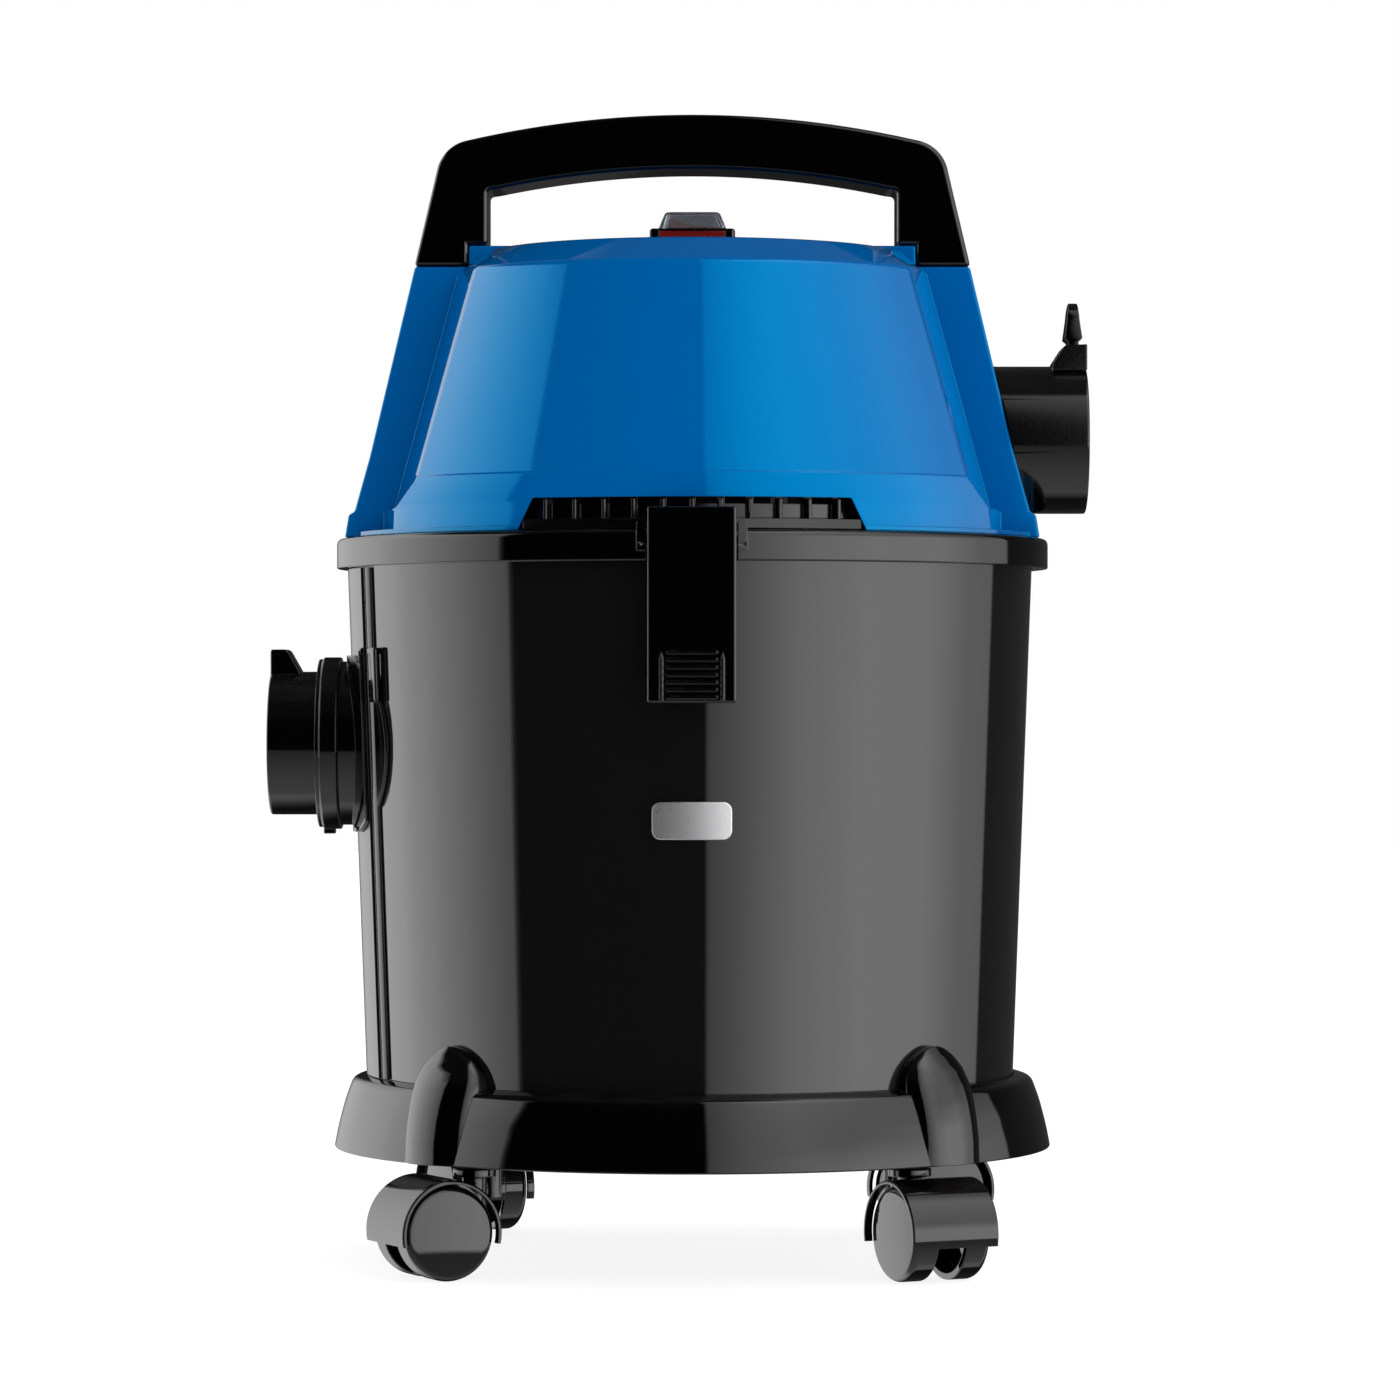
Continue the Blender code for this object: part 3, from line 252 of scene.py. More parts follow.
def make_settled_dust():
    """Dust that lies on upward faces, thicker in patches."""
    tree, given, out = group_tree("settled_dust", (("Amount", 0.2), ("Scale", 40.0)), ("Mask",))
    surface = tree.nodes.new("ShaderNodeNewGeometry")
    split = tree.nodes.new("ShaderNodeSeparateXYZ")
    link(tree, surface.outputs["Normal"], split.inputs["Vector"])
    upward = span(tree, split.outputs["Z"], 0.45, 1.0)
    where = tree.nodes.new("ShaderNodeTexCoord").outputs["Object"]
    patches = span(tree, noise_node(tree, where, given["Scale"], 6.0, 0.7), 0.35, 0.75)
    settled = math_node(tree, "MULTIPLY", upward, patches)
    link(tree, math_node(tree, "MULTIPLY", settled, given["Amount"], True), out["Mask"])
    return tree


EDGE_WEAR, MOULDED_SKIN = make_edge_wear(), make_moulded_skin()
SCUFFS, DUST = make_scuffs(), make_settled_dust()


def add_group(tree, group, **values):
    node = tree.nodes.new("ShaderNodeGroup")
    node.node_tree = group
    for label, value in values.items():
        node.inputs[label.replace("_", " ")].default_value = value
    return node.outputs


def new_material(name):
    material = bpy.data.materials.new(name)
    material.use_nodes = True
    return material, material.node_tree, material.node_tree.nodes["Principled BSDF"]


def moulded(name, colour, roughness, *, second, wear, wear_amount=0.35, bump=0.00002, grain=900.0,
            flow_share=0.6, scuffs=0.15, dust=0.10, rough_spread=0.03, tint=(1.0, 1.0, 1.0), level=0.5,
            metallic=0.0, round_edge=0.0006):
    """A moulded, cast or pressed surface: mottled colour, worn edges, hairlines, dust and a fine skin.

    The colour wanders between two near tones, wear is the tone of a rubbed edge, and bump is in metres.
    """
    material, tree, shader = new_material(name)
    skin = add_group(tree, MOULDED_SKIN, Grain_Scale=grain, Flow_Share=flow_share)
    worn = add_group(tree, EDGE_WEAR, Edge_Width=0.0007, Amount=wear_amount)
    lines = add_group(tree, SCUFFS, Amount=scuffs)
    dusty = add_group(tree, DUST, Amount=dust)
    body = mix_colour(tree, skin["Mottle"], colour, second)
    body = mix_colour(tree, worn["Mask"], body, wear)
    body = mix_colour(tree, dusty["Mask"], body, DUST_COLOUR)
    link(tree, body, shader.inputs["Base Color"])
    # rubbed, scratched and dusty places are duller
    rough = span(tree, skin["Grain"], 0.3, 0.7, roughness, roughness + rough_spread)
    for mask, dulling in ((lines["Mask"], 0.25), (worn["Mask"], 0.25), (dusty["Mask"], 0.5)):
        rough = math_node(tree, "ADD", rough, math_node(tree, "MULTIPLY", mask, dulling), True)
    link(tree, rough, shader.inputs["Roughness"])
    soft = tree.nodes.new("ShaderNodeBevel")
    soft.samples = 4
    soft.inputs["Radius"].default_value = round_edge
    relief = tree.nodes.new("ShaderNodeBump")
    relief.inputs["Strength"].default_value = 1.0
    relief.inputs["Distance"].default_value = bump
    link(tree, skin["Height"], relief.inputs["Height"])
    link(tree, soft.outputs["Normal"], relief.inputs["Normal"])
    link(tree, relief.outputs["Normal"], shader.inputs["Normal"])
    shader.inputs["Metallic"].default_value = metallic
    shader.inputs["Specular Tint"].default_value = (*tint, 1.0)
    shader.inputs["Specular IOR Level"].default_value = level
    return material


# ---- finishes ----
DUST_COLOUR = (0.22, 0.21, 0.19)
DRUM_GREY = moulded("drum_grey", (0.0044, 0.0044, 0.0045), 0.030, second=(0.0052, 0.0052, 0.0053),
                    wear=(0.04, 0.04, 0.04), wear_amount=0.4, bump=0.000006, rough_spread=0.02)
GLOSS_BLACK = moulded("gloss_black", (0.0005, 0.0005, 0.0005), 0.030, second=(0.0010, 0.0010, 0.0010),
                      wear=(0.03, 0.03, 0.03), wear_amount=0.35, bump=0.000005, rough_spread=0.02, dust=0.05)
PORT_BLACK = moulded("port_black", (0.0006, 0.0006, 0.0006), 0.07, second=(0.0014, 0.0014, 0.0014),
                     wear=(0.035, 0.035, 0.035), wear_amount=0.45, bump=0.000012, dust=0.04)
HEAD_BLUE = moulded("head_blue", (0.0, 0.098, 0.335), 0.035, second=(0.0, 0.106, 0.360),
                    wear=(0.02, 0.26, 0.66), wear_amount=0.15, tint=(0.0, 0.60, 1.0), scuffs=0.06, dust=0.0,
                    bump=0.000006, rough_spread=0.02, level=1.0)
MATTE_BLACK = moulded("matte_black", (0.010, 0.010, 0.011), 0.42, second=(0.016, 0.016, 0.017), bump=0.00006,
                      flow_share=0.2, wear=(0.06, 0.06, 0.06), rough_spread=0.12)
VENT_BLACK = moulded("vent_black", (0.0010, 0.0010, 0.0013), 0.10, second=(0.0018, 0.0018, 0.0022),
                     bump=0.00001, flow_share=0.2, wear=(0.03, 0.03, 0.03), wear_amount=0.2, rough_spread=0.05,
                     scuffs=0.05, dust=0.02)
DARK_STEEL = moulded("dark_steel", (0.030, 0.030, 0.032), 0.30, second=(0.045, 0.045, 0.047), metallic=1.0,
                     wear=(0.10, 0.10, 0.10), bump=0.00003, grain=1600.0, rough_spread=0.14, scuffs=0.3)
SEAL_RUBBER = moulded("seal_rubber", (0.012, 0.012, 0.012), 0.62, second=(0.020, 0.020, 0.019), bump=0.00012,
                      flow_share=0.1, grain=1400.0, wear=(0.05, 0.05, 0.048), rough_spread=0.15)
ROCKER_RED = moulded("rocker_red", (0.15, 0.0025, 0.0025), 0.14, second=(0.18, 0.004, 0.003),
                     wear=(0.35, 0.05, 0.04), round_edge=0.0004)
BRIGHT_STEEL = moulded("bright_steel", (0.52, 0.52, 0.53), 0.24, second=(0.60, 0.60, 0.60), metallic=1.0,
                       wear=(0.75, 0.75, 0.74), bump=0.00003, grain=1600.0, rough_spread=0.14, scuffs=0.5)
FAN_ALUMINIUM = moulded("fan_aluminium", (0.66, 0.66, 0.67), 0.30, second=(0.74, 0.74, 0.74), metallic=1.0,
                        wear=(0.85, 0.85, 0.85), bump=0.00004, grain=1200.0, rough_spread=0.15, scuffs=0.5)
BADGE_SILVER = moulded("badge_silver", (0.62, 0.62, 0.63), 0.26, second=(0.68, 0.68, 0.69), metallic=1.0,
                       wear=(0.85, 0.85, 0.85), bump=0.00002, grain=2200.0, rough_spread=0.10)
FLOAT_PLASTIC = moulded("float_plastic", (0.76, 0.76, 0.73), 0.30, second=(0.82, 0.82, 0.80),
                        wear=(0.9, 0.9, 0.88), bump=0.00004, rough_spread=0.1)


def make_filter_cloth():
    """Felted filter cloth: short darker crossing fibres and a soft nap."""
    material, tree, shader = new_material("filter_felt")
    skin = add_group(tree, MOULDED_SKIN, Flow_Scale=60.0, Grain_Scale=2600.0, Flow_Share=0.3)
    fibres = add_group(tree, SCUFFS, Scale=900.0, Amount=1.0)
    pale = mix_colour(tree, skin["Mottle"], (0.70, 0.68, 0.62), (0.80, 0.79, 0.74))
    link(tree, mix_colour(tree, fibres["Mask"], pale, (0.58, 0.56, 0.50)), shader.inputs["Base Color"])
    link(tree, span(tree, skin["Grain"], 0.2, 0.8, 0.80, 0.98), shader.inputs["Roughness"])
    relief = tree.nodes.new("ShaderNodeBump")
    relief.inputs["Distance"].default_value = 0.0003
    link(tree, skin["Height"], relief.inputs["Height"])
    link(tree, relief.outputs["Normal"], shader.inputs["Normal"])
    shader.inputs["Sheen Weight"].default_value = 0.25
    shader.inputs["Sheen Roughness"].default_value = 0.5
    return material


def make_boot_clear():
    """A clear soft cover: smoky, smooth, a little dull where it has been pressed."""
    material, tree, shader = new_material("boot_clear")
    skin = add_group(tree, MOULDED_SKIN, Flow_Scale=120.0, Grain_Scale=1800.0, Flow_Share=0.6)
    worn = add_group(tree, EDGE_WEAR, Edge_Width=0.0006, Amount=0.4)
    tone = mix_colour(tree, skin["Mottle"], (0.66, 0.69, 0.74), (0.74, 0.77, 0.81))
    link(tree, mix_colour(tree, worn["Mask"], tone, (0.75, 0.77, 0.80)), shader.inputs["Base Color"])
    link(tree, span(tree, skin["Grain"], 0.3, 0.7, 0.04, 0.12), shader.inputs["Roughness"])
    relief = tree.nodes.new("ShaderNodeBump")
    relief.inputs["Distance"].default_value = 0.00002
    link(tree, skin["Height"], relief.inputs["Height"])
    link(tree, relief.outputs["Normal"], shader.inputs["Normal"])
    shader.inputs["Transmission Weight"].default_value = 0.92
    shader.inputs["IOR"].default_value = 1.45
    return material


FILTER_FELT, BOOT_CLEAR = make_filter_cloth(), make_boot_clear()


# ---- working a shape ----
BENCH = bpy.data.collections.new("bench")
bpy.context.scene.collection.children.link(BENCH)


def bench_object(name, mesh, location=(0, 0, 0), rotation=(0, 0, 0), parent=None):
    """A shape on the bench, with its place put in its mesh."""
    obj = bpy.data.objects.new(name, mesh)
    BENCH.objects.link(obj)
    place = Matrix.Translation(location) @ Euler(rotation).to_matrix().to_4x4()
    mesh.transform((parent or Matrix.Identity(4)) @ place)
    return obj


def from_builder(name, builder, **where):
    mesh = bpy.data.meshes.new(name)
    builder.to_mesh(mesh)
    builder.free()
    return bench_object(name, mesh, **where)


def evaluated_mesh(obj):
    bpy.context.view_layer.update()
    return bpy.data.meshes.new_from_object(obj.evaluated_get(bpy.context.evaluated_depsgraph_get()))


def settle(obj):
    """Applies an object's modifiers to its mesh."""
    mesh = evaluated_mesh(obj)
    obj.modifiers.clear()
    obj.data = mesh
    return obj


def face_out(obj):
    """Merges a closed shape's doubles and turns its faces outwards."""
    builder = bmesh.new()
    builder.from_mesh(obj.data)
    bmesh.ops.remove_doubles(builder, verts=builder.verts, dist=TINY)
    bmesh.ops.recalc_face_normals(builder, faces=builder.faces)
    if builder.calc_volume(signed=True) < 0:
        bmesh.ops.reverse_faces(builder, faces=builder.faces)
    builder.to_mesh(obj.data)
    builder.free()
    return obj


def combine(obj, other, operation="DIFFERENCE"):
    """Cuts, joins or trims with another shape, which is used up."""
    modifier = obj.modifiers.new("combine", "BOOLEAN")
    modifier.operation = operation
    modifier.object = other
    modifier.solver = "EXACT"
    settle(obj)
    bpy.data.objects.remove(other)
    return obj


def bevel(obj, width, segments=3, limit_deg=35):
    modifier = obj.modifiers.new("edges", "BEVEL")
    modifier.width = width
    modifier.segments = segments
    modifier.limit_method = "ANGLE"
    modifier.angle_limit = math.radians(limit_deg)
    modifier.harden_normals = False
    return settle(obj)


def eased(points, radius, steps=4, closed=True):
    """Rounds a profile's corners. A point may carry its own radius as a third number."""
    count, result = len(points), []
    for i, point in enumerate(points):
        corner = Vector(point[:2])
        own = point[2] if len(point) > 2 else radius
        if own <= 0 or (not closed and i in (0, count - 1)):
            result.append(tuple(corner))
            continue
        before, after = Vector(points[i - 1][:2]), Vector(points[(i + 1) % count][:2])
        reach = min(own, (before - corner).length * 0.48, (after - corner).length * 0.48)
        first = corner + (before - corner).normalized() * reach
        last = corner + (after - corner).normalized() * reach
        for step in range(steps + 1):
            t = step / steps
            result.append(tuple(first * (1 - t) ** 2 + corner * 2 * t * (1 - t) + last * t ** 2))
    return result


def arc(centre, radius, start_deg, end_deg, steps):
    return [(centre[0] + radius * math.cos(math.radians(start_deg + (end_deg - start_deg) * i / steps)),
             centre[1] + radius * math.sin(math.radians(start_deg + (end_deg - start_deg) * i / steps)))
            for i in range(steps + 1)]


# ---- Geometry Nodes ----
def shape_tree(name, inputs):
    """A geometry node tree with named inputs and one geometry output."""
    tree = bpy.data.node_groups.new(name, "GeometryNodeTree")
    kinds = {int: "NodeSocketInt", float: "NodeSocketFloat"}
    tree.interface.new_socket("Geometry", in_out="INPUT", socket_type="NodeSocketGeometry")
    for label, value in inputs:
        if value is None:
            tree.interface.new_socket(label, in_out="INPUT", socket_type="NodeSocketMaterial")
            continue
        socket = tree.interface.new_socket(label, in_out="INPUT", socket_type=kinds[type(value)])
        socket.default_value = value
    tree.interface.new_socket("Geometry", in_out="OUTPUT", socket_type="NodeSocketGeometry")
    return tree, tree.nodes.new("NodeGroupInput").outputs, tree.nodes.new("NodeGroupOutput").inputs


def shape_node(tree, kind, links=(), **settings):
    node = tree.nodes.new(kind)
    for label, value in settings.items():
        setattr(node, label, value)
    for socket, value in links:
        target = node.inputs[socket]
        if isinstance(value, bpy.types.NodeSocket):
            link(tree, value, target)
        else:
            target.default_value = value
    return node


def finish_shape(tree, given, out, geometry):
    """Ends a tree: real geometry with its finish on it."""
    solid = shape_node(tree, "GeometryNodeRealizeInstances", (("Geometry", geometry),))
    painted = shape_node(tree, "GeometryNodeSetMaterial", (("Geometry", solid.outputs["Geometry"]),
                                                           ("Material", given["Finish"])))
    link(tree, painted.outputs["Geometry"], out["Geometry"])
    return tree


def grow(obj, tree, **values):
    """Runs a node tree on an object with these inputs and keeps the mesh it makes."""
    modifier = obj.modifiers.new(tree.name, "NODES")
    modifier.node_group = tree
    for socket in tree.interface.items_tree:
        label = socket.name.replace(" ", "_")
        if socket.in_out == "INPUT" and label in values:
            modifier[socket.identifier] = values[label]
    return settle(obj)


def make_turned_tree():
    """Turns a profile line about Z: a grid whose rows follow the profile's points."""
    inputs = (("Rows", 4), ("Facets", 48), ("Sweep", math.tau), ("Finish", None))
    tree, given, out = shape_tree("turned_shell", inputs)
    columns = math_node(tree, "ADD", given["Facets"], 1)
    grid = shape_node(tree, "GeometryNodeMeshGrid", (("Vertices X", columns), ("Vertices Y", given["Rows"])))
    index = shape_node(tree, "GeometryNodeInputIndex").outputs["Index"]
    row = math_node(tree, "MODULO", index, given["Rows"])
    middle = math_node(tree, "ADD", index, 0.5)
    column = math_node(tree, "FLOOR", math_node(tree, "DIVIDE", middle, given["Rows"]))
    position = shape_node(tree, "GeometryNodeInputPosition").outputs["Position"]
    sample = shape_node(tree, "GeometryNodeSampleIndex", data_type="FLOAT_VECTOR", domain="POINT")
    link(tree, given["Geometry"], sample.inputs["Geometry"])
    link(tree, position, sample.inputs["Value"])
    link(tree, row, sample.inputs["Index"])
    split = shape_node(tree, "ShaderNodeSeparateXYZ", (("Vector", sample.outputs["Value"]),)).outputs
    angle = math_node(tree, "MULTIPLY", math_node(tree, "DIVIDE", column, given["Facets"]), given["Sweep"])
    across = math_node(tree, "MULTIPLY", split["X"], math_node(tree, "COSINE", angle))
    along = math_node(tree, "MULTIPLY", split["X"], math_node(tree, "SINE", angle))
    spot = shape_node(tree, "ShaderNodeCombineXYZ", (("X", across), ("Y", along), ("Z", split["Z"])))
    moved = shape_node(tree, "GeometryNodeSetPosition", (("Geometry", grid.outputs["Mesh"]),
                                                         ("Position", spot.outputs["Vector"])))
    merged = shape_node(tree, "GeometryNodeMergeByDistance", (("Geometry", moved.outputs["Geometry"]),
                                                              ("Distance", TINY)))
    return finish_shape(tree, given, out, merged.outputs["Geometry"])


def make_row_tree():
    """Repeats a small shape along a straight row, or with a bow radius on a round."""
    inputs = (("Count", 5), ("Step X", 0.0), ("Step Z", 0.0), ("Bow Radius", 0.0), ("Finish", None))
    tree, given, out = shape_tree("bar_row", inputs)
    span_x = math_node(tree, "MULTIPLY", math_node(tree, "SUBTRACT", given["Count"], 1), given["Step X"])
    first = shape_node(tree, "ShaderNodeCombineXYZ", (("X", math_node(tree, "MULTIPLY", span_x, -0.5)),))
    step = shape_node(tree, "ShaderNodeCombineXYZ", (("X", given["Step X"]), ("Z", given["Step Z"])))
    row = shape_node(tree, "GeometryNodeMeshLine", (("Count", given["Count"]),
                                                    ("Start Location", first.outputs["Vector"]),
                                                    ("Offset", step.outputs["Vector"])))
    split = shape_node(tree, "ShaderNodeSeparateXYZ",
                       (("Vector", shape_node(tree, "GeometryNodeInputPosition").outputs["Position"]),)).outputs
    inner = math_node(tree, "SUBTRACT", math_node(tree, "MULTIPLY", given["Bow Radius"], given["Bow Radius"]),
                      math_node(tree, "MULTIPLY", split["X"], split["X"]))
    back = math_node(tree, "SUBTRACT", given["Bow Radius"],
                     math_node(tree, "SQRT", math_node(tree, "MAXIMUM", inner, 0.0)))
    shift = shape_node(tree, "ShaderNodeCombineXYZ", (("Y", back),))
    bowed = shape_node(tree, "GeometryNodeSetPosition", (("Geometry", row.outputs["Mesh"]),
                                                         ("Offset", shift.outputs["Vector"])))
    copies = shape_node(tree, "GeometryNodeInstanceOnPoints", (("Points", bowed.outputs["Geometry"]),
                                                               ("Instance", given["Geometry"])))
    # on a bow, each copy turns to face straight out
    facing = math_node(tree, "ARCSINE", math_node(tree, "DIVIDE", split["X"], given["Bow Radius"]))
    turn = shape_node(tree, "ShaderNodeCombineXYZ", (("Z", facing),))
    link(tree, turn.outputs["Vector"], copies.inputs["Rotation"])
    return finish_shape(tree, given, out, copies.outputs["Instances"])


def make_pleat_tree():
    """Folds a sleeve into even pleats: every point moves in or out with its angle."""
    tree, given, out = shape_tree("pleated_sleeve", (("Pleats", 40), ("Depth", 0.004), ("Finish", None)))
    split = shape_node(tree, "ShaderNodeSeparateXYZ",
                       (("Vector", shape_node(tree, "GeometryNodeInputPosition").outputs["Position"]),)).outputs
    angle = math_node(tree, "ADD", math_node(tree, "ARCTAN2", split["Y"], split["X"]), math.pi)
    phase = math_node(tree, "MULTIPLY", math_node(tree, "DIVIDE", angle, math.tau), given["Pleats"])
    fold = math_node(tree, "PINGPONG", phase, 0.5)
    squares = [math_node(tree, "MULTIPLY", split[axis], split[axis]) for axis in ("X", "Y")]
    radius = math_node(tree, "SQRT", math_node(tree, "ADD", *squares))
    inset = math_node(tree, "MULTIPLY", math_node(tree, "MULTIPLY", fold, 2.0), given["Depth"])
    scale = math_node(tree, "DIVIDE", math_node(tree, "SUBTRACT", radius, inset), radius)
    spot = shape_node(tree, "ShaderNodeCombineXYZ", (("X", math_node(tree, "MULTIPLY", split["X"], scale)),
                                                     ("Y", math_node(tree, "MULTIPLY", split["Y"], scale)),
                                                     ("Z", split["Z"])))
    folded = shape_node(tree, "GeometryNodeSetPosition", (("Geometry", given["Geometry"]),
                                                          ("Position", spot.outputs["Vector"])))
    return finish_shape(tree, given, out, folded.outputs["Geometry"])


TURNED, BAR_ROW, PLEATED = make_turned_tree(), make_row_tree(), make_pleat_tree()


# ---- making shapes ----
def turned(name, profile, facets=ROUND, closed=True, sweep_deg=360.0, start_deg=0.0, **where):
    """A profile of (radius, height) points turned about Z."""
    mesh = bpy.data.meshes.new(name)
    points = list(profile) + ([profile[0]] if closed else [])
    mesh.from_pydata([(radius, 0.0, height) for radius, height, *_ in points], [], [])
    obj = bpy.data.objects.new(name, mesh)
    BENCH.objects.link(obj)
    grow(obj, TURNED, Rows=len(points), Facets=facets, Sweep=math.radians(sweep_deg))
    mesh = obj.data
    bpy.data.objects.remove(obj)
    mesh.transform(Matrix.Rotation(math.radians(start_deg), 4, "Z"))
    made = bench_object(name, mesh, **where)
    if sweep_deg == 360.0:
        face_out(made)
    return made


def curved_plate(name, profile, thickness, middle_deg, sweep_deg, steps):
    """A plate that follows the drum: an open turned line, thickened inwards."""
    outer = list(profile)
    inner = [(radius - thickness, height) for radius, height in reversed(outer)]
    plate = turned(name, outer + inner, facets=steps, sweep_deg=sweep_deg,
                   start_deg=middle_deg - sweep_deg / 2)
    builder = bmesh.new()
    builder.from_mesh(plate.data)
    ends = [edge for edge in builder.edges if edge.is_boundary]
    bmesh.ops.holes_fill(builder, edges=ends)
    builder.to_mesh(plate.data)
    builder.free()
    return face_out(plate)


def box(name, low, high, **where):
    low, high = Vector(low), Vector(high)
    size = [abs(one - other) for one, other in zip(low, high)]
    builder = bmesh.new()
    bmesh.ops.create_cube(builder, size=1.0, matrix=Matrix.Translation((low + high) / 2)
                          @ Matrix.Diagonal((*size, 1.0)))
    return from_builder(name, builder, **where)


def rod(name, start, end, radius, facets=48, **where):
    start, end = Vector(start), Vector(end)
    along = end - start
    turn = Vector((0, 0, 1)).rotation_difference(along).to_matrix().to_4x4()
    builder = bmesh.new()
    bmesh.ops.create_cone(builder, cap_ends=True, segments=facets, radius1=radius, radius2=radius,
                          depth=along.length, matrix=Matrix.Translation((start + end) / 2) @ turn)
    return from_builder(name, builder, **where)


def outline(name, points, depth, **where):
    """A flat outline thickened to both sides of its plane."""
    builder = bmesh.new()
    ring = [builder.verts.new((across, up, -depth / 2)) for across, up, *_ in points]
    face = builder.faces.new(ring)
    lifted = bmesh.ops.extrude_face_region(builder, geom=[face])
    raised = [item for item in lifted["geom"] if isinstance(item, bmesh.types.BMVert)]
    bmesh.ops.translate(builder, verts=raised, vec=(0, 0, depth))
    return face_out(from_builder(name, builder, **where))


def loft(name, loops, **where):
    """A solid skinned over closed loops of points, from the lowest to the highest."""
    count = len(loops[0])
    faces = [tuple(reversed(range(count)))]
    for level in range(len(loops) - 1):
        for i in range(count):
            j = (i + 1) % count
            low, high = level * count, (level + 1) * count
            faces.append((low + i, low + j, high + j, high + i))
    faces.append(tuple(range((len(loops) - 1) * count, len(loops) * count)))
    mesh = bpy.data.meshes.new(name)
    mesh.from_pydata([point for loop in loops for point in loop], [], faces)
    return face_out(bench_object(name, mesh, **where))


def at(table, z):
    """Reads a (height, value) table at a height, straight between its rows."""
    if z <= table[0][0]:
        return table[0][1]
    for (low_z, low), (high_z, high) in zip(table, table[1:]):
        if z <= high_z:
            return low + (high - low) * (z - low_z) / (high_z - low_z)
    return table[-1][1]


def drum_radius(z):
    return DRUM_FLOOR_R + (DRUM_TOP_R - DRUM_FLOOR_R) * (z - DRUM_FLOOR_Z) / (DRUM_TOP_Z - DRUM_FLOOR_Z)


def hand_over(obj, material, body, nodes, smooth_deg=32):
    """Turns a worked shape into a finished piece: one mesh in the object's frame that rides on a body."""
    mesh = obj.data
    mesh.transform(Matrix.Translation((AXIS_X, 0, 0)))
    mesh.materials.clear()
    mesh.materials.append(material)
    for polygon in mesh.polygons:
        polygon.material_index = 0
    mesh.shade_smooth()
    mesh.set_sharp_from_angle(angle=math.radians(smooth_deg))
    # broad faces keep their own direction and the small fillets beside them carry the turn
    flatten = obj.modifiers.new("weighted", "WEIGHTED_NORMAL")
    flatten.keep_sharp = True
    flatten.weight = 80
    settle(obj)
    BENCH.objects.unlink(obj)
    bpy.context.scene.collection.objects.link(obj)
    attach(obj, body)
    if nodes:
        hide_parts(*nodes)
    return obj


# ---- drum, rim, panel and strips ----
def inlet_plug(name, clearance):
    """A rod for the inlet's hole in whatever lies on the drum's side."""
    return rod(name, (-0.120, 0, INLET_Z), (-0.160, 0, INLET_Z), INLET_R + clearance, TUBE_FACETS)


